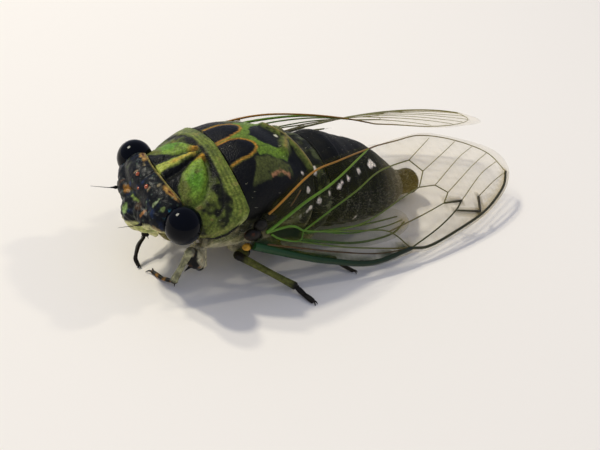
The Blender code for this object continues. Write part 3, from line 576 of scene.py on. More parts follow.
# Abdomen: overlapping rings, black above and dusted grey on the sides, then the tail's short last ring
abdomen = {
    "rows": [(0, 4.6, 9.9, 5.8, 2), (0.12, 4.85, 10.25, 5.7, 1.95), (0.35, 4.75, 9.45, 5.4, 1.95),
             (0.6, 4.3, 8.6, 5.1, 2), (0.82, 3.15, 7, 4.6, 2.2), (1, 1.75, 5.45, 4.1, 2.6)],
    "ringEdges": [0, 0.15, 0.27, 0.39, 0.51, 0.63, 0.75, 0.87, 1], "lip": 0.07,
    # painted highlights on the abdomen: white spots where glints shine
    "glintSpots": [(17.9, 4.02, 8.14, 0.2), (18.2, 3.85, 8.3, 0.12), (19, 3.7, 8.57, 0.2),
               (20.65, 3.04, 8.68, 0.22),
               (22.5, 2.35, 8.5, 0.3), (22.9, 2.05, 8.6, 0.3), (23.2, 2.2, 8.3, 0.2), (20.6, 4.67, 4.6, 0.2)],
}
tail = {"rows": [(0, 1.3, 5.05, 4, 2.7), (0.3, 1.3, 5.05, 3.95, 2.7), (0.6, 1.45, 5.2, 3.9, 2.7),
                 (0.88, 1.15, 4.95, 3.85, 2.85), (1, 0.5, 4.4, 3.8, 3.3)], "ringEdges": [0, 0.5, 1]}


def ringPlace(t, edges):
    # how far through its ring a place is
    edges = np.asarray(edges)
    i = np.clip(np.searchsorted(edges, t, side="right") - 1, 0, len(edges) - 2)
    return (t - edges[i]) / (edges[i + 1] - edges[i])


def abdomenRelief(p, t):
    s = ringPlace(t, abdomen["ringEdges"])
    pleat = np.exp(-((p[:, 2] - 4 + 0.03 * (p[:, 0] - 17)) / 0.3) ** 2)  # between the back and belly plates
    return (abdomen["lip"] * (ease(s, 0, 0.85) - ease(s, 0.93, 1)) - 0.06
            - 0.16 * pleat * ease(p[:, 2], 2.6, 3.2))


def abdomenPaint(p, edges=abdomen["ringEdges"], x0=17.2, x1=29.3):
    x, y, z = p[:, 0], np.abs(p[:, 1]), p[:, 2]
    s = ringPlace(np.clip((x - x0) / (x1 - x0), 0, 0.9999), edges)
    side, belly = ease(7.6 - z - 0.12 * (x - 17), 0, 2.6), ease(3.1 - z, 0, 0.5)
    c = layered("#060707", (side * (0.4 + 0.6 * wobble(p, 0.9, 3)), "#292820", 0.7),
                (side * (1.5 * wobble(p, 0.3, 13) - 0.6), "#6d6858", 0.6),
                (side * soft(np.abs(s - 0.9) - 0.04, 0.1), "#6d6655", 0.35), (belly, "#8f8360", 0.9),
                (belly * soft(y - 1, 0.9), "#3d3524", 0.8))
    return withPaintedGlints(c, p, abdomen["glintSpots"])


def tailRelief(p, t):
    return (0.08 * np.sin(t * 9) * ease(1 - t, 0, 0.3)
            - 0.12 * np.exp(-(p[:, 1] / 0.25) ** 2) * (p[:, 2] < 3.8))


bodyPlate("abdomenRings", "dark_cuticle", "abdomen", shellDusty, abdomenPaint, waistFace, tailFace,
          abdomen["rows"], 190, 220, abdomenRelief)
bodyPlate("abdomenTip", "dark_cuticle", "abdomen_tail", shellDusty,
          lambda p: abdomenPaint(p, tail["ringEdges"], 29.3, 32.4), tailFace, lambda y, z: 32.4 + 0 * y,
          tail["rows"], 50, 120, tailRelief)

# Underside plate between the head and the fore legs
prosternum = {"rows": [(0, 1.8, 4.4, 3.5, 2.8), (0.5, 2.5, 4.5, 3.4, 2.5), (1, 2.8, 4.5, 3.3, 2.2)],
              "ends": (1.65, 6.7)}  # how far behind the neck it starts, and where it ends


def underPaint(p):
    return layered("#c3b98c", (0.3 + 0.6 * wobble(p, 0.7, 2), "#8b8a55"),
                   (wobble(p, 0.5, 6) - 0.35, "#3c3a22"))


bodyPlate("prosternumPlate", "pale_cuticle", "prosternum", legShell, underPaint,
          lambda y, z: neckFace(y, z) + prosternum["ends"][0],
          lambda y, z: prosternum["ends"][1] - 0.12 * y * y,
          prosternum["rows"], 40, 96, lambda p, t: 0.06 * np.sin(p[:, 0] * 6))

# Head: swellings blended together, then ribbed and painted; all but the middle ones are on both sides
head = {
    "swellings": [((2.75, 0, 6.9), (1.75, 4.5, 1.85)), ((2.6, 0, 5.15), (2.3, 1.85, 2.05)),
                  ((3.7, 0, 3.4), (1.25, 1.05, 1.1)), ((3.2, 0, 5.3), (1.3, 3.1, 1.5)),
                  ((1.35, 2, 6.3), (0.6, 0.85, 0.32)), ((1.45, 1.5, 5.9), (0.86, 1.5, 0.92)),
                  ((2, 2.6, 6.35), (0.96, 1.5, 1.02))],
    "voxel": 0.075, "ribSpacing": 0.42, "ribDepth": 0.022, "faceDepth": 2.6,
    "eye": (3, 4.42, 6.85), "eyeRadii": (1.43, 1.43, 1.53),
    "middleOcellus": (1.18, -0.2, 7.45), "sideOcellus": (1.46, 0.82, 8), "ocellusRadii": (0.14, 0.19, 0.17),
    # place, size, colour, strength, softness, and the side that has it in full: -1 left, 1 right, 0 both
    "marks": [((1.4, 3.5, 6.05), (0.5, 0.4, 0.25), "#a8905c", 0.6, 0.5, 0),
              ((0.35, 0, 5.45), (0.4, 0.3, 0.45), "#7f9a50", 0.9, 0.5, 0),
              ((0.98, 0.4, 6.6), (0.4, 0.42, 0.16), "#76883c", 0.9, 0.6, -1),
              ((0.86, 1.1, 6.5), (0.4, 0.38, 0.3), "#9a6c2c", 0.9, 0.7, 1),
              ((0.84, 1.95, 6.5), (0.4, 0.14, 0.34), "#a06a34", 0.9, 0.5, -1),
              ((1.51, 2.4, 7.7), (0.4, 0.12, 0.34), "#9aa878", 0.9, 0.6, -1),
              ((1.72, 3.2, 7.6), (0.3, 0.2, 0.2), "#7c8c4c", 0.8, 0.6, -1),
              # painted highlights: two small cyan spots beside each eye, where glints shine
              ((2.16, 3.62, 7.75), (0.2, 0.12, 0.12), "#3f8ea0", 0.9, 0.5, 0),
              ((1.87, 3.8, 7.11), (0.2, 0.12, 0.12), "#3f8ea0", 0.9, 0.5, 0),
              ((1.43, 1.14, 8), (0.2, 0.1, 0.25), "#a08a68", 0.7, 0.5, 0)],
}
sides = (("Left", -1), ("Right", 1))


def headPaint(p):
    x, y, z = p[:, 0], np.abs(p[:, 1]), p[:, 2]
    jitter = p + 0.12 * np.column_stack([wobble(p, 0.35, 1), wobble(p, 0.35, 2), wobble(p, 0.35, 3)])
    jitter[:, 1] = np.abs(jitter[:, 1])
    # lower face and the lip below it: cream green, darker between the ribs
    low = ease(np.minimum(4.75 + 0.6 * (y - 0.5), 6.12) - z, 0, 0.3)
    ribs = 0.5 + 0.5 * np.sin(z * 2 * np.pi / head["ribSpacing"])
    c = layered("#070a0f", (1.2 * wobble(p, 0.6, 14) - 0.4, "#14284a"),
                (1.5 * wobble(p, 0.3, 4) - 1, "#33431f"), (low, "#cbc78c"), (low * ribs, "#a9a866", 0.6),
                (low * soft(np.abs(y - 1.7) - 0.5, 0.5), "#8b9a3c", 0.7))
    for place, radii, tint, strength, edge, only in head["marks"]:
        gap = np.linalg.norm((jitter - place) / radii, axis=1) - 1
        c = layered(c, (soft(gap, edge) * strength * np.where(only * p[:, 1] < -0.2, 0.15, 1), tint))
    # ochre streak along the back of the head, wider towards the eyes
    rim = neckFace(y, z) - x
    fade = ease(3.4 - y, 0, 0.5)
    ragged = 0.1 * wobble(p, 0.5, 8) + 0.08 * wobble(p, 0.22, 2)
    star = np.hypot(jitter[:, 0] - 2.1, jitter[:, 1] - 1.3)
    nape = fade * ease(z, 7, 7.5)
    return layered(
        c, (soft(rim - 0.16, 0.14) * ease(z, 7.6, 8) * fade, "#8f8240", 0.9),
        (soft(np.abs(rim - 0.4) - 0.2 - ragged, 0.14) * ease(y, 1.5, 1.9) * nape, "#a98240"),
        (soft(np.abs(rim - 0.36) - 0.06 - ragged, 0.1) * ease(y, 1.9, 2.3) * nape, "#4a1f12"),
        (soft(star - 0.14 - 0.16 * wobble(p, 0.25, 6), 0.14) * (z > 8), "#8f8058", 0.8),
        (ease(wobble(p, 0.2, 11), 0.6, 1) * (z > 5), "#6c7f6a", 0.5))


def makeHead():
    d = head
    balls = [ballParts(np.multiply(c, (1, s, 1)), r)
             for c, r in d["swellings"] for s in ((1, -1) if c[1] else (1,))]
    # in millimetres here, so that the voxel size is easy to read
    rough = meshFrom("headShape", *joinParts(balls), shellDark, place=np.asarray)
    remesh = rough.modifiers.new("blend", "REMESH")
    remesh.mode, remesh.voxel_size, remesh.use_smooth_shade = "VOXEL", d["voxel"], True
    relax = rough.modifiers.new("relax", "SMOOTH")
    relax.factor, relax.iterations = 0.5, 9
    made = evaluatedMesh(rough)
    bpy.data.objects.remove(rough, do_unlink=True)
    p, normal = readVectors(made.vertices, "co"), readVectors(made.vertices, "normal")
    faces = [tuple(poly.vertices) for poly in made.polygons]
    bpy.data.meshes.remove(made)
    x, y, z = p[:, 0], np.abs(p[:, 1]), p[:, 2]
    onFace = ease(1.75 - y, 0, 0.4) * ease(d["faceDepth"] - x, 0.2, 0.8) * ease(6.4 - z, 0, 0.3)
    groove = ease(y, 0.12, 0.3)
    out = d["ribDepth"] * np.sin((z + 0.12 * y ** 2) * 2 * np.pi / d["ribSpacing"]) * onFace * groove
    out -= 0.05 * (1 - groove) * onFace
    out += (0.06 * wobble(p, 0.9, 3) + 0.022 * wobble(p, 0.4, 5)) * (1 - onFace) * ease(z, 4.6, 5.4)
    # a furrow down the middle of the crown, and one round each side of the swollen face
    out -= 0.07 * np.exp(-(y / 0.14) ** 2) * ease(z, 7.6, 8.1)
    brow = np.abs(np.hypot(y / 1.75, (z - 5.1) / 1.75) - 1)
    out -= 0.1 * np.exp(-(brow / 0.09) ** 2) * ease(2 - x, 0, 0.5)
    p = p + normal * out[:, None]
    # the back of the head follows the neck
    p[:, 0] = np.minimum(p[:, 0], np.maximum(neckFace(p[:, 1], p[:, 2]) - gapHalf, 1.6))
    for _, side in sides:
        # a narrow groove runs round each eye, and what would cover the eye is drawn in under it
        reach = p - np.array(d["eye"]) * (1, side, 1)
        length = np.linalg.norm(reach / d["eyeRadii"], axis=1)
        outer = ease(np.abs(p[:, 1]), 2.9, 3.4) * ease(1.16 - length, 0, 0.1)
        p -= reach * (outer * np.clip(1 - 0.9 / np.maximum(length, 0.2), 0, 0.25))[:, None]
    finishPiece(meshFrom("headCapsule", p, faces, shellDark, headPaint(p)), "dark_cuticle", "head")


makeHead()
print("head done")

# Eyes: polished blue-black horn of thousands of lenses, so glossy that each lamp is one small spot on them;
# the lenses are too fine to show one by one and only soften that spot
eyeShell, tree, shader = newMaterial("compoundEye", IOR=1.2, Roughness=0.09)
place = addNode(tree, "ShaderNodeTexCoord").outputs["Object"]
lenses = addNode(tree, "ShaderNodeTexVoronoi", [("Vector", place)], Scale=1000 / 0.05)
addNode(tree, "ShaderNodeBump", [("Height", lenses)], shader["Normal"], Strength=0.06, Distance=0.000004)
depth = addNode(tree, "ShaderNodeTexNoise", [("Vector", place)], Scale=1000 / 1.6, Detail=2)
addNode(tree, "ShaderNodeMixRGB", [("Fac", depth)], shader["Base Color"],
        Color1="#020306", Color2="#050812")

for name, side in sides:
    v, f = ballParts(np.array(head["eye"]) * (1, side, 1), head["eyeRadii"], 96, 64)
    finishPiece(meshFrom("compoundEye" + name, v, f, eyeShell), "eye", "eye_" + name.lower())

# Simple eyes: clear amber horn over red, smooth beads that glow dull orange with a wet shine
ocellusGem, tree, shader = newMaterial("ocellusLens", IOR=1.5, Roughness=0.12, **{"Coat Weight": 0.4})
place = addNode(tree, "ShaderNodeTexCoord").outputs["Object"]
glow = addNode(tree, "ShaderNodeTexNoise", [("Vector", place)], Scale=1000 / 0.25)
addNode(tree, "ShaderNodeMixRGB", [("Fac", glow)], shader["Base Color"],
        Color1="#7c1e08", Color2="#c8641c")
gems = [np.array(head["middleOcellus"])] + [np.array(head["sideOcellus"]) * (1, s, 1) for _, s in sides]
beads = joinParts([ballParts(g, [r] * 3, 24, 16) for g, r in zip(gems, head["ocellusRadii"])])
finishPiece(meshFrom("ocelli", *beads, ocellusGem), "eye")
print("eyes done")

# Feelers: a stout root, then a fine bristle; radii are given by how far along they are
feeler = {
    "socket": (0.62, 2.35, 5.72), "radii": [(0, 0.13), (0.08, 0.14), (0.13, 0.08), (0.2, 0.06), (0.28, 0.03),
                                           (1, 0.013)],
    "Left": [(-0.45, 0.05, -0.1), (-0.95, 0.3, -0.3), (-1.4, 0.65, -0.6)],
    "Right": [(-0.55, 0.1, 0), (-1.2, 0.25, 0.05), (-1.95, 0.3, 0.2)],
}
# Beak: a jointed tube laid back under the body
beak = {"path": [(4.15, 0, 2.6), (5, 0, 1.8), (6.4, 0, 1.3), (8.55, 0, 1.05)],
        "radii": [(0, 0.42), (0.2, 0.4), (0.35, 0.36), (0.6, 0.29), (0.9, 0.2), (1, 0.1)]}


def taperedTube(path, radii, squash, count):
    return tubeParts(path, np.interp(np.linspace(0, 1, len(path)), *np.array(radii).T), squash, count)


for name, side in sides:
    root = np.array(feeler["socket"]) * (1, side, 1)
    path = smoothLine([root + (0.15, 0, 0)] + [root + np.array(q) for q in feeler[name]], 0.06)
    v, f = taperedTube(path, feeler["radii"], 1, 12)
    paint = layered("#14110d", (np.zeros(len(v)), "#14110d"))
    finishPiece(meshFrom("feeler" + name, v, f, legShell, paint), "dark_cuticle", "antenna_" + name.lower())

v, f = taperedTube(smoothLine(beak["path"], 0.1), beak["radii"], 1.15, 20)
paint = layered("#8d8450", (ease(v[:, 0], 6.5, 8.2), "#1c1610"))
finishPiece(meshFrom("beakTube", v, f, legShell, paint), "dark_cuticle", "beak")

# Opercula: the pale plates over the drums, under the root of the abdomen
operculum = {"centre": (16.5, 2.1, 2.15), "radii": (1.9, 1.7, 0.62), "flatTop": 2.35}
for name, side in sides:
    v, f = ballParts(np.array(operculum["centre"]) * (1, side, 1), operculum["radii"], 56, 36)
    v[:, 2] = np.minimum(v[:, 2], operculum["flatTop"]) + 0.04 * np.sin(v[:, 0] * 5 + v[:, 1])
    finishPiece(meshFrom("operculum" + name, v, f, legShell, underPaint(v)), "pale_cuticle",
                "operculum_" + name.lower())
print("small parts done")

# Legs: coxa, trochanter and knee, then the shin's end and two foot points by height above the floor
legs = {
    "fore_left": [(6.3, -2.4, 2.3), (6.2, -3.5, 1.2), (4.5, -4, 3.6), (3.5, -4.25, 0.75), (3.15, -3.2, 0.3),
                  (2.85, -2, 0.17)],
    "fore_right": [(6.3, 2.4, 2.3), (6.2, 3.5, 1.1), (4.9, 3.95, 3.5), (3.3, 0.95, 1.75), (2.15, -0.15, 0.85),
                   (2.15, -0.8, 0.17)],
    "mid_left": [(9.9, -2.2, 2), (10.9, -3, 1.3), (8.7, -4.7, 2.85), (12.5, -8.4, 0.6), (12.9, -9.3, 0.25),
                 (13.2, -10.2, 0.17)],
    "mid_right": [(9.9, 2.2, 2), (10.9, 3, 1.1), (8.9, 4.7, 3), (12.3, 8.2, 0.7), (12.7, 9.1, 0.3),
                  (13.1, 10, 0.17)],
    "hind_left": [(13.5, -2.2, 2), (14, -3.1, 1.45), (12.1, -5.3, 3.2), (17.6, -6.9, 0.75),
                  (18.2, -7.6, 0.35),
                  (18.8, -8.3, 0.17)],
    "hind_right": [(13.5, 2.2, 2), (14, 3.1, 1.4), (12.1, 5.3, 3.2), (17.6, 6.8, 0.75), (18.4, 7.6, 0.3),
                   (19.2, 8.2, 0.17)],
}
legSizes = {
    "fore": {"coxa": (0.78, 0.6), "femur": (0.5, 0.74, 0.62, 0.4), "tibia": (0.34, 0.26, 0.27, 0.33),
             "foot": 0.17},
    "mid": {"coxa": (0.74, 0.55), "femur": (0.4, 0.52, 0.46, 0.36), "tibia": (0.34, 0.29, 0.28, 0.34),
            "foot": 0.23},
    "hind": {"coxa": (0.78, 0.55), "femur": (0.4, 0.54, 0.46, 0.36), "tibia": (0.33, 0.24, 0.24, 0.3),
             "foot": 0.17},
}
legColours = {  # pale, dark and green
    "fore_left": ("#cfc6a0", "#12110c", "#a3a078"), "fore_right": ("#b3ab7c", "#17110b", "#3a2f1a"),
    "mid_left": ("#c4bb92", "#1a150e", "#63652e"), "mid_right": ("#b0a67a", "#1d180f", "#57592a"),
    "hind_left": ("#9a935c", "#2a2415", "#4f5a26"), "hind_right": ("#9a935c", "#2a2415", "#4f5a26"),
}
clawSpread = {"fore_left": 0.36, "fore_right": 0.12}  # and 0.16 on the other feet


def limbParts(a, b, radii, bow=(0, 0, 0)):
    path = smoothLine([a, (a + b) / 2 + bow, b], 0.09)
    r = smoothRow(np.column_stack([np.linspace(0, 1, len(radii)), radii]), np.linspace(0, 1, len(path)))[:, 0]
    return tubeParts(path, r, 1, 20)


def makeLeg(name):
    coxa, trochanter, knee, shinEnd, heel, toe = [np.array(p, float) for p in legs[name]]
    for point in (shinEnd, heel, toe):
        point[2] += floorHeight(point[0], point[1])
    pair, sideName = name.split("_")
    size, fore = legSizes[pair], pair == "fore"
    pale, dark, green = legColours[name]
    parts, colours = [], []

    def add(part, colour, tipColour=None, tipAt=0.8, baseColour=None):
        along = np.linspace(0, 1, len(part[0]))
        parts.append(part)
        colours.append(layered(colour, (wobble(part[0], 0.5, 3) - 0.3, dark, 0.6),
                               (ease(along, tipAt, tipAt + 0.12) * bool(tipColour), tipColour or dark),
                               (ease(0.16 - along, 0, 0.1) * bool(baseColour), baseColour or dark)))

    add(limbParts(coxa, trochanter, size["coxa"]), pale)
    length, thigh = np.linalg.norm(knee - trochanter), unit(knee - trochanter)
    add(limbParts(trochanter, trochanter + thigh * 0.5, (0.42, 0.45, 0.38)), dark)
    add(limbParts(trochanter + thigh * 0.45, knee, size["femur"]), "#b9b38e" if fore else green, dark, 0.85)
    if fore:  # cream thigh with a black blotch on its front face, and two spines below for holding on
        v = parts[-1][0]
        reach = (v - trochanter) @ thigh
        ahead = (v - trochanter - thigh * reach[:, None]) @ np.array([-0.8, 0.53, -0.28])
        black = soft(np.abs(reach / length - 0.6) - 0.42 + 0.12 * wobble(v, 0.4, 5), 0.1)
        colours[-1] = layered(colours[-1], (np.ones(len(v)), pale, 0.6),
                              (black * ease(ahead + 0.15 * wobble(v, 0.35, 9), -0.5, -0.38), "#12100b"),
                              (1.5 * wobble(v, 0.4, 23) - 0.8, "#b07840"))
        for place, long in ((0.35, 0.75), (0.62, 0.55)):
            root = trochanter + (knee - trochanter) * place
            down = np.array([-0.75, -0.1 if sideName == "left" else 0.1, -0.65])
            down = unit(down - thigh * (down @ thigh))
            add(tubeParts([root + down * far for far in (0.45, 0.7, 0.5 + long)], [0.2, 0.13, 0.03], 1, 10),
                dark)
    shin = unit(shinEnd - knee)
    base = green if name == "fore_left" else dark
    add(limbParts(knee - shin * 0.05, knee + shin * 0.45, (0.3, 0.38, 0.3)), base)
    add(limbParts(knee + shin * 0.3, shinEnd, size["tibia"]), green, dark, 0.84, base)
    across = unit(np.cross(shin, (0, 0, 1)))
    for way in (-1, 1):  # spurs at the end of the shin
        spur = [shinEnd - shin * 0.15 + across * 0.1 * way, shinEnd + shin * 0.3 + across * 0.3 * way]
        add(tubeParts(spur, [0.09, 0.02], 1, 8), dark)
    r = size["foot"]
    bow = (-0.1, 0.08, 0) if name == "fore_right" else (0, 0, 0)
    add(limbParts(shinEnd + (heel - shinEnd) * 0.12, heel, (r * 0.8, r * 1.05, r * 0.9), bow), dark)
    add(limbParts(heel, toe, (r * 0.85, r * 1.05, r * 0.95), bow), dark)
    ahead = unit(toe - heel)
    across = unit(np.cross(ahead, (0, 0, 1)))
    if name == "fore_left":  # rings of amber on the near fore foot
        for k in (-1, -2):
            v = parts[k][0]
            rings = 1.3 * np.sin((v @ ahead) * 7.5 + 1) + 0.2 * wobble(v, 0.2, 3)
            colours[k] = layered(colours[k], (rings, "#a8762e", 0.85))
    for way in (-1, 1):
        tip = toe + ahead * 0.4 + across * clawSpread.get(name, 0.16) * way
        tip[2] = floorHeight(tip[0], tip[1]) + 0.04
        path = smoothLine([toe - ahead * 0.1, (toe + tip) / 2 + (0, 0, 0.12), tip], 0.05)
        add(tubeParts(path, np.linspace(0.11, 0.025, len(path)), 1, 10), dark)
    verts, faces = joinParts(parts)
    verts[:, 2] = np.maximum(verts[:, 2], floorHeight(verts[:, 0], verts[:, 1]))
    piece = outward(meshFrom(pair + sideName.title() + "Leg", verts, faces, legShell, np.vstack(colours)))
    finishPiece(piece, "leg_cuticle", *[name + "_" + s for s in ("coxa", "femur", "tibia", "tarsus")])


for legName in legs:
    makeLeg(legName)
print("legs done")

# Wings: u runs along the flat wing from its hinge, v towards the hind edge; slope and arch by station
wingHinge = (8.05, 6.45, 5.7)
wingStations = (0, 16, 36)
wingSet = {
    "Left": {"yaw": 6.5, "pitch": 5.2, "slope": (75, 44, 36), "arch": (-4.3, -2.3, -2.2)},
    "Right": {"yaw": 9.5, "pitch": 1.6, "slope": (76, 47, 31), "arch": (-3.7, -3, -1.9)},
}
wingNode, clavusTip, stemFork, cellRoot = (16.8, -0.65), (13.4, 8.5), (14.3, 0.85), (4.9, 1)
# corners of the row of cells, from the hind edge inwards
cells = [(18.7, 7.9), (20.1, 6.8), (19, 5.1), (21.2, 5.4), (22.7, 4.7), (21.8, 3.6)]
innerZigzag, outerZigzag, nodeFork, outerFork = (24.3, 3.9), (26.9, 4.4), (23.2, 2.9), (26.6, 2.85)
wingTip = (32.8, 7.6)
forewing = {
    "thickness": 0.06, "drop": 0,
    "edge": [(0, -0.5), (4.6, -1.4), (7.9, -1.9), (12.4, -2.15), (16.8, -1.1), (19, -0.85),
             (22.8, 0.55), (27.4, 2.6), (31.4, 5.3), (33.4, 7.6), (33.9, 9.2), (33, 10.5),
             (31, 11.1), (27, 11.5), (22.6, 11.5), (18.2, 10.3), (15.4, 9.3), (13.5, 8.9),
             (9.2, 7.5), (5.5, 6.1), (2.8, 4.2), (1.2, 2.8), (0.3, 1.6)],
    "darkCell": [(1.54, 1.07), (3.68, 1.5), (4.9, 1.1), (4.7, 0.3), (2.75, 0.35)],
    "clouded": ("innerCloud", "outerCloud", "outerStem"),
    "strong": ("innerCloud", "outerCloud", "outerStem", "nodeBranch", "frontEdge", "costa"),
    "veins": {  # half width and colour at the two ends, then places
        "costa": (0.34, 0.2, "#16401a", "#141c0e", [(0.4, -0.2), (4.6, -1.1), (7.9, -1.6), (12.4, -1.85),
                                                    wingNode]),
        "costaTop": (0.08, 0.06, "#5a3f1c", "#3a2e14", [(1.6, -0.1), (4.7, -0.45), (8.8, -0.85), (13, -1.05),
                                                       wingNode]),
        "frontEdge": (0.14, 0.13, "#2c2e14", "#33301a", [wingNode, (19, -0.5), (22.8, 0.9), (27.4, 2.95),
                                                        (31.2, 5.6), wingTip]),
        "stem": (0.12, 0.09, "#5b7f1f", "#4f781c", [(1.3, 0.9), (3.6, 1.4), cellRoot]),
        "cellTop": (0.09, 0.07, "#557c1f", "#4a6f20", [(1.8, 0.75), (2.75, 0.35), (4.6, 0.15), cellRoot]),
        "radius": (0.07, 0.07, "#4c6a1c", "#5a4a1c", [(4.7, 0.1), (8.8, -0.4), (13, -0.6), wingNode]),
        "median": (0.07, 0.065, "#567a1e", "#544a1c", [cellRoot, (7.8, 0.9), (11, 0.95), stemFork, wingNode]),
        "medianBranch": (0.065, 0.065, "#56701c", "#4f4a1c", [(7.8, 0.9), (11, 1.5), (13.2, 2.35), (17, 4.2),
                                                             cells[2]]),
        "cubitus": (0.075, 0.07, "#567c1e", "#5c561c", [cellRoot, (7.7, 2.7), (10.8, 4.4), (13.6, 6.1),
                                                        (16.1, 7.1),
                                                       cells[0]]),
        "claval": (0.14, 0.08, "#5a8420", "#6a8424", [(1.3, 0.9), (4.7, 3.2), (7.9, 4.9), (11.9, 7.5),
                                                      clavusTip]),
        "anal": (0.1, 0.07, "#a87222", "#8a6420", [(1.3, 2.4), (5.5, 5.6), (9.2, 7), clavusTip]),
        "analInner": (0.05, 0.04, "#7a5a30", "#6a5030", [(4.4, 4.3), (3.8, 3.5), (3.4, 3)]),
        "border": (0.075, 0.05, "#6a4a1c", "#8f8550", [clavusTip, (15.3, 9.2), (17.8, 9.95), (21.9, 11.1),
                                                      (26.8, 11.1), (31.2, 9.95), wingTip]),
        **{"cross" + str(k): (0.065, 0.065, "#5f5520", "#5f5520", cells[k:k + 2]) for k in range(5)},
        "forkBranch": (0.07, 0.07, "#544a22", "#4f4a22", [stemFork, (18.7, 2.4), cells[5]]),
        "innerCloud": (0.09, 0.13, "#4f4a22", "#2a2414", [cells[5], innerZigzag]),
        "nodeBranch": (0.075, 0.08, "#3d3f1c", "#3d3a1c", [wingNode, (20.5, 1.2), nodeFork, innerZigzag]),
        "outerCloud": (0.08, 0.11, "#3d3a1c", "#2a2414", [nodeFork, outerFork]),
        "outerStem": (0.12, 0.13, "#2a2414", "#2a2414", [outerFork, outerZigzag]),
        **{"apical" + str(k): (0.055, 0.04, "#6a6030", "#8f8550", path) for k, path in enumerate([
            [cells[0], (23, 10.9)], [cells[1], (24.4, 9.4), (26.8, 10.9)],
            [cells[3], (26, 8.7), (29.2, 10.5)],
            [cells[4], (27.5, 7.8), (31.2, 9.9)]])},
        "apicalInner": (0.06, 0.04, "#5a5028", "#8f8550", [innerZigzag, (28.5, 7), (32.2, 8.9)]),
        "apicalOuter": (0.06, 0.045, "#4a4022", "#7f7548", [outerZigzag, (30, 6.2), wingTip]),
    },
}
hindwing = {
    "thickness": 0.06, "drop": 0.8,
    "edge": [(3.6, 0), (6, -0.5), (11, -0.6), (15.5, 0.3), (17.6, 1.7), (16.8, 3), (13.5, 3.2), (9, 2.4),
             (6, 1.7),
             (3.8, 1.1)],
    "veins": {
        "costa": (0.14, 0.08, "#3a6a26", "#5a5a2a", [(3.9, 0.3), (6, 0), (11, -0.15), (15.2, 0.7),
                                                     (17, 1.9)]),
        "median": (0.1, 0.07, "#4a7a28", "#5a5a2a", [(3.9, 0.4), (7, 0.8), (12, 1.5), (16.2, 2.4)]),
        "branch": (0.08, 0.06, "#4a7a28", "#5a5a2a", [(7, 0.8), (10.5, 0.7), (14.5, 1.4), (16.8, 2.1)]),
    },
}


def onWing(name, flat, lift=0):
    # flat wing places on the arched roof that the wing makes, lifted off it along its normal
    s, side = wingSet[name], (-1 if name == "Left" else 1)
    spin = np.array(Matrix.Rotation(side * math.radians(s["yaw"]), 3, "Z")
                    @ Matrix.Rotation(math.radians(s["pitch"]), 3, "Y"))

    def place(du, dv):
        u, v = flat[:, 0] + du, flat[:, 1] + dv
        slope, arch = [np.radians(np.interp(u, wingStations, s[key])) for key in ("slope", "arch")]
        turned = slope + arch * v
        inward, rise = (np.sin(turned) - np.sin(slope)) / arch, (np.cos(slope) - np.cos(turned)) / arch
        return np.stack([u, -side * inward, rise], -1) @ spin.T + np.array(wingHinge) * (1, side, 1)

    d = 0.05
    normal = np.cross(place(d, 0) - place(-d, 0), place(0, d) - place(0, -d))
    normal /= np.linalg.norm(normal, axis=1)[:, None] * np.sign(normal[:, 2:3])
    return place(0, 0) + normal * np.reshape(lift, (-1, 1))


# Membrane: clear chitin film that unfolded soft and hardened in the air; nearly invisible where clean,
# smoky or dark where its paint says so, and crinkled so that it catches the lamps in soft patches
membrane, tree, shader = newMaterial("wingMembrane", IOR=1.18, Roughness=0.18)
place = addNode(tree, "ShaderNodeTexCoord").outputs["Object"]
paint = addNode(tree, "ShaderNodeAttribute", [], shader["Base Color"], attribute_name="paint")
tree.links.new(paint.outputs["Alpha"], shader["Alpha"])
crinkle = addNode(tree, "ShaderNodeTexNoise", [("Vector", place)], Scale=1000 / 1.1, Detail=3)
addNode(tree, "ShaderNodeBump", [("Height", crinkle)], shader["Normal"], Strength=0.5, Distance=0.00008)


def startTree(name, inputs):
    # a geometry tree with named inputs: gives it, its first node's outputs and the inputs' identifiers
    tree = bpy.data.node_groups.new(name, "GeometryNodeTree")
    for way in ("INPUT", "OUTPUT"):
        tree.interface.new_socket("Geometry", in_out=way, socket_type="NodeSocketGeometry")
    ids = {key: tree.interface.new_socket(key, in_out="INPUT", socket_type="NodeSocket" + kind).identifier
           for key, kind in inputs.items()}
    return tree, addNode(tree, "NodeGroupInput").outputs, ids


def endTree(tree, start, last):
    real = addNode(tree, "GeometryNodeRealizeInstances", [("Geometry", last)])
    coated = addNode(tree, "GeometryNodeSetMaterial", [("Geometry", real), ("Material", start["Finish"])])
    addNode(tree, "NodeGroupOutput", [("Geometry", coated)])


def growMesh(piece, tree, ids, **values):
    # gives the piece the plain mesh that the tree makes from it
    modifier = piece.modifiers.new("growth", "NODES")
    modifier.node_group = tree
    for key, value in values.items():
        modifier[ids[key]] = value
    made = evaluatedMesh(piece)
    piece.modifiers.remove(modifier)
    piece.data = made
    return made


# marked lines made into tubes as thick as each point's "thick" value
veinTree, start, veinIds = startTree("veinTubes", {"Sides": "Int", "Finish": "Material"})
curve = addNode(veinTree, "GeometryNodeMeshToCurve", [("Mesh", start["Geometry"])])
thick = addNode(veinTree, "GeometryNodeInputNamedAttribute", Name="thick")
ring = addNode(veinTree, "GeometryNodeCurvePrimitiveCircle", [("Resolution", start["Sides"])], Radius=1)
tube = addNode(veinTree, "GeometryNodeCurveToMesh", [("Curve", curve), ("Profile Curve", ring),
                                                     ("Scale", thick)],
               **{"Fill Caps": True})
endTree(veinTree, start, tube)


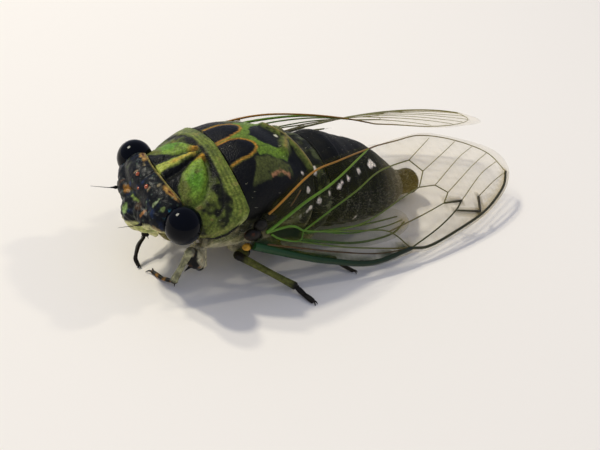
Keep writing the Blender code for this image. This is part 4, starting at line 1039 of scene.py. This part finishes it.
def tubeMesh(name, lines, material, count=8):
    # lines are (points in the insect's frame, half widths, colours)
    edges, base = [], 0
    for p, _, _ in lines:
        edges += [(base + k, base + k + 1) for k in range(len(p) - 1)]
        base += len(p)
    points, thick, colours = [np.concatenate(column) for column in zip(*lines)]
    mesh = bpy.data.meshes.new(name)
    mesh.from_pydata(toRow(points).tolist(), edges, [])
    mark(mesh, "thick", thick * 0.001)
    mark(mesh, "paint", np.column_stack([colours, np.ones(len(colours))]))
    piece = newObject(name, mesh)
    made = growMesh(piece, veinTree, veinIds, Sides=count, Finish=material)
    made.shade_smooth()
    if not made.materials:
        made.materials.append(material)
    return piece


def makeWing(title, name, plan):
    veins, drop, half = plan["veins"], plan["drop"], plan["thickness"] / 2
    lines = {vein: smoothLine(row[4], 0.35) for vein, row in veins.items()}
    rim = smoothLine(plan["edge"] + plan["edge"][:1], 0.5)[:-1]
    gx, gy = np.meshgrid(*[np.arange(low, high, 0.55) for low, high in zip(rim.min(0), rim.max(0))])
    grid = np.column_stack([gx.ravel(), gy.ravel()])
    grid = grid[patchDistance(grid, rim) < -0.3]
    ring = [(k, (k + 1) % len(rim)) for k in range(len(rim))]
    flat, _, faces, *_ = delaunay_2d_cdt([Vector(p) for p in np.vstack([rim, grid])], ring,
                                         [list(range(len(rim)))], 1, 1e-5)
    flat = np.array([tuple(p) for p in flat])
    u, n = flat[:, 0], len(flat)
    nearVein = np.min([lineDistance(flat, line)[0] - veins[vein][0] for vein, line in lines.items()], axis=0)
    sag = -0.12 * ease(nearVein, 0, 1.6) - drop  # the membrane hangs a little between its veins
    verts = np.vstack([onWing(name, flat, sag + half), onWing(name, flat, sag - half)])
    tris = [tuple(f) for f in faces] + [tuple(i + n for i in reversed(f)) for f in faces]
    edges = dict.fromkeys((a, b) for f in faces for a, b in zip(f, [*f[1:], f[0]]))
    tris += [(b, a, a + n, b + n) for a, b in edges if (b, a) not in edges]
    # clear beyond the cells, smoky at the root and along the front edge
    beyond, root = ease(u, 13.5, 18), ease(3 - u, 0, 2)
    colour = layered("#56560f", (beyond, "#b89c34"), (root, "#2a2c12"))
    alpha = (0.045 + 0.045 * beyond + 0.12 * ease(0.9 - lineDistance(flat, lines["costa"])[0], 0, 0.8)
             + 0.2 * root + 0.05 * ease(0.35 - nearVein, 0, 0.3))
    if "clouded" in plan:
        tip = lineDistance(flat, lines["frontEdge"])[0]
        alpha += 0.25 * ease(0.9 - tip, 0, 0.9) * ease(u, 22, 28)
        # dark clouds at the zigzag veins, then the shaded line under the costa
        dark = [(lines[vein], 0.22, 0.4, 0.42, "#2a2210") for vein in plan["clouded"]]
        dark.append((lines["costa"] + (0, 0.42), 0.2, 0.3, 0.55, "#16301a"))
        for line, width, edge, strength, tint in dark:
            mask = soft(lineDistance(flat, line)[0] - width, edge)
            alpha += strength * mask
            colour = layered(colour, (mask, tint))
        cell = patchDistance(flat, plan["darkCell"])
        colour = layered(colour, (soft(cell - 0.15, 0.2), "#16220c"))
        alpha = np.where(cell < 0.15, 0.92, alpha)
    sheet = np.column_stack([colour, np.clip(alpha, 0, 0.95)])
    skin = meshFrom(title + "Membrane" + name, verts, tris, membrane, np.vstack([sheet, sheet]))
    finishPiece(outward(skin), "wing", title + "_" + name.lower())
    tubes = []
    for vein, line in lines.items():
        r0, r1, c0, c1, _ = veins[vein]
        t = np.linspace(0, 1, len(line))
        # veins thin out and pale towards the tip, on the far wing that the light shines through most
        strong = name == "Left" and vein in forewing["strong"]
        pale = ease(line[:, 0], 13, 22) * (0 if strong else 0.25 if name == "Left" else 0.6)
        tint = layered(c0, (t, c1), (pale, "#9a9a5c", 0.8))
        tubes.append((onWing(name, line, -drop), (r0 + (r1 - r0) * t) * (1 - 0.6 * pale), tint))
    finishPiece(tubeMesh(title + "Veins" + name, tubes, veinShell), "wing")


for name, _ in sides:
    makeWing("forewing", name, forewing)
    makeWing("hindwing", name, hindwing)
print("wings done")

# Hinges: the knobbly plates where each forewing meets the thorax
hinge = {"lumps": [((8.3, 6.15, 6.3), (0.75, 0.42, 0.5)), ((9, 5.9, 6.9), (0.6, 0.4, 0.55)),
                   ((8.9, 6, 5.9), (0.5, 0.4, 0.4)), ((9.9, 5.6, 7.3), (0.7, 0.35, 0.4)),
                   ((8, 6.3, 5.25), (0.42, 0.3, 0.3))]}
for name, side in sides:
    v, f = joinParts([ballParts(np.array(c) * (1, side, 1), r, 28, 18) for c, r in hinge["lumps"]])
    paint = layered("#15120b", (1.4 * wobble(v, 0.5, 2) - 0.6, "#6e3a1c"),
                    (ease(5.75 - v[:, 2], 0, 0.3) * (v[:, 0] < 8.5), "#c08f2c"))
    finishPiece(meshFrom("wingHinge" + name, v, f, legShell, paint), "green_cuticle")

# Hairs: short tapered bristles that lie back over the plates they grow on and show as a faint silvery bloom
hairs = {  # hairs to a square millimetre, length and half width in millimetres, colour
    "abdomenRings": (42, 0.16, 0.009, "#a39e8c"), "abdomenTip": (42, 0.15, 0.009, "#a39e8c"),
    "mesonotumAndFlanks": (10, 0.24, 0.01, "#c9c4a6"), "metanotumRing": (9, 0.3, 0.009, "#b9b496"),
    "pronotumShield": (4, 0.16, 0.007, "#8d8f6a"), "headCapsule": (5, 0.12, 0.007, "#5a6770"),
}
hairTree, start, hairIds = startTree("lyingHairs", {"Density": "Float", "Length": "Float",
                                                    "Half Width": "Float",
                                                    "Seed": "Int", "Finish": "Material"})
furry = addNode(hairTree, "GeometryNodeInputNamedAttribute", Name="furry")
amount = addNode(hairTree, "ShaderNodeMath", [(0, start["Density"]), (1, furry)], operation="MULTIPLY")
spots = addNode(hairTree, "GeometryNodeDistributePointsOnFaces", [("Mesh", start["Geometry"]),
                                                                  ("Density", amount),
                                                                  ("Seed", start["Seed"])])
rooted = addNode(hairTree, "GeometryNodeStoreNamedAttribute", [
    ("Geometry", spots), ("Value", addNode(hairTree, "GeometryNodeInputPosition"))],
    data_type="FLOAT_VECTOR", Name="rootPlace")
# each hair leans back along the body, between the plate's normal and the tail
lean = addNode(hairTree, "ShaderNodeVectorMath", [(0, spots.outputs["Normal"])], operation="SCALE",
               Scale=0.55)
stray = addNode(hairTree, "FunctionNodeRandomValue", data_type="FLOAT_VECTOR")
stray.inputs[0].default_value, stray.inputs[1].default_value = (0.5, -0.45, -0.35), (1.1, 0.45, 0.15)
aim = addNode(hairTree, "ShaderNodeVectorMath", [(0, lean), (1, stray)], operation="ADD")
turned = addNode(hairTree, "FunctionNodeAlignRotationToVector", [("Vector", aim)], axis="Z")
cone = addNode(hairTree, "GeometryNodeMeshCone", [("Radius Bottom", start["Half Width"]),
                                                  ("Depth", start["Length"])], Vertices=3,
                                                  **{"Radius Top": 0.000002})
grown = addNode(hairTree, "FunctionNodeRandomValue")
grown.inputs[2].default_value, grown.inputs[3].default_value = 0.5, 1.2
endTree(hairTree, start, addNode(hairTree, "GeometryNodeInstanceOnPoints", [
    ("Points", rooted), ("Instance", cone), ("Rotation", turned), ("Scale", grown.outputs[1])]))


def furryWeight(name, v):
    # where the hairs stand: flanks and underside more than the polished back
    x, z = v[:, 0], v[:, 2]
    if name == "headCapsule":
        return ease(z, 4.6, 5.6) * 0.9
    if name == "pronotumShield":
        return 0.25 + 0.75 * ease(8.5 - z, 0, 1.5)
    if name == "mesonotumAndFlanks":
        return 0.02 + 0.98 * ease(7.4 - z, 0, 1.2)
    return 0.03 + 0.97 * ease(8.4 - z - 0.1 * (x - 17), 0, 2)


for number, (plate, (density, length, half, tint)) in enumerate(hairs.items()):
    # each material is bristle of horn, drawn out to a point: pale where the light runs along it
    bristle, _, shader = newMaterial("hair" + plate[0].upper() + plate[1:], Roughness=0.35,
                                     **{"Base Color": tint})
    coat = newObject("hairs_" + plate, bpy.data.objects[plate].data.copy())
    mark(coat.data, "furry", furryWeight(plate, toInsect(readVectors(coat.data.vertices, "co"))))
    made = growMesh(coat, hairTree, hairIds, Density=density * 1e6, Length=length * 0.001, Seed=11 + number,
                    Finish=bristle, **{"Half Width": half * 0.001})
    # each hair's colour comes from one small patch, at its root's place round and along the body
    roots = toInsect(readVectors(made.attributes["rootPlace"].data, "vector"))
    around = np.arctan2(roots[:, 1], roots[:, 2] - 5.5) / (2 * np.pi) + 0.5
    corner = np.empty(len(made.loops), np.int32)
    made.loops.foreach_get("vertex_index", corner)
    uv = np.column_stack([around, (roots[:, 0] + 1) / 36])[corner] * 0.99 + 0.002
    uv += 0.003 * np.column_stack([corner % 4 / 4, corner % 3 / 3])
    while made.uv_layers:
        made.uv_layers.remove(made.uv_layers[0])
    made.uv_layers.new(name="OFBake").data.foreach_set("uv", uv.astype(np.float32).ravel())
    finishPiece(coat, "dark_cuticle")
    print(coat.name, len(made.polygons))

# Floor: a sheet of matt white paper, plain and warm, that takes soft shadows without a shine
floorTint, _, _ = newMaterial("paperFloor", Roughness=0.9, **{"Base Color": "#f6f0e5"})
bpy.ops.mesh.primitive_plane_add(size=1.2, location=(0, 0, -0.00001))
floor = bpy.context.object
floor.name = "paper"
floor.data.materials.append(floorTint)

# The camera's place in the insect's frame, in millimetres
camera = {"place": (-23.47, -41.98, 41.84), "up": (0.143, 0.619, 0.772), "back": (-0.585, -0.577, 0.57),
          "lens": 46.02}
back = Vector(turn @ np.array(camera["back"])).normalized()
right = Vector(turn @ np.array(camera["up"])).cross(back).normalized()
up = back.cross(right).normalized()
viewer = newObject("camera", bpy.data.cameras.new("camera"))
viewer.data.lens, viewer.data.sensor_width, viewer.data.clip_start = camera["lens"], 36, 0.001
viewer.matrix_world = (Matrix.Translation(Vector(toRow([camera["place"]])[0]))
                       @ Matrix((right, up, back)).transposed().to_4x4())
bpy.context.scene.camera = viewer

lamps = {  # direction in the camera's own right, up and back, then distance, size, power and colour
    "firstBulb": ((-0.44, 0.83, 0.35), 0.5, 0.034, 1.03, "#fffaeb"),
    "secondBulb": ((-0.44, 0.87, 0.2), 0.5, 0.034, 0.62, "#fffaeb"),
    "deskLamp": ((0.75, 0.67, 0.03), 0.8, 0.05, 0.85, "#fff8e5"),
    "glint": ((-0.5, 0.77, 0.38), 0.8, 0.22, 5, "#fffbe8"),  # seen only as a shine
}
for name, (direction, distance, size, power, tint) in lamps.items():
    toward = (right * direction[0] + up * direction[1] + back * direction[2]).normalized()
    light = bpy.data.lights.new(name, "AREA")
    light.energy, light.color, light.shape, light.size = power, linear(tint), "DISK", size
    spot = newObject(name, light)
    spot.location, spot.rotation_mode = toward * distance, "QUATERNION"
    spot.rotation_quaternion = toward.to_track_quat("Z", "Y")
    spot.visible_glossy, spot.visible_diffuse = name == "glint", name != "glint"

world = bpy.data.worlds.new("room")
world.use_nodes = True
bpy.context.scene.world = world
sky = world.node_tree.nodes["Background"].inputs
sky["Color"].default_value, sky["Strength"].default_value = (*linear("#d6ddf8"), 1), 0.55
bpy.context.scene.view_settings.view_transform = "Standard"

print("scene ready")
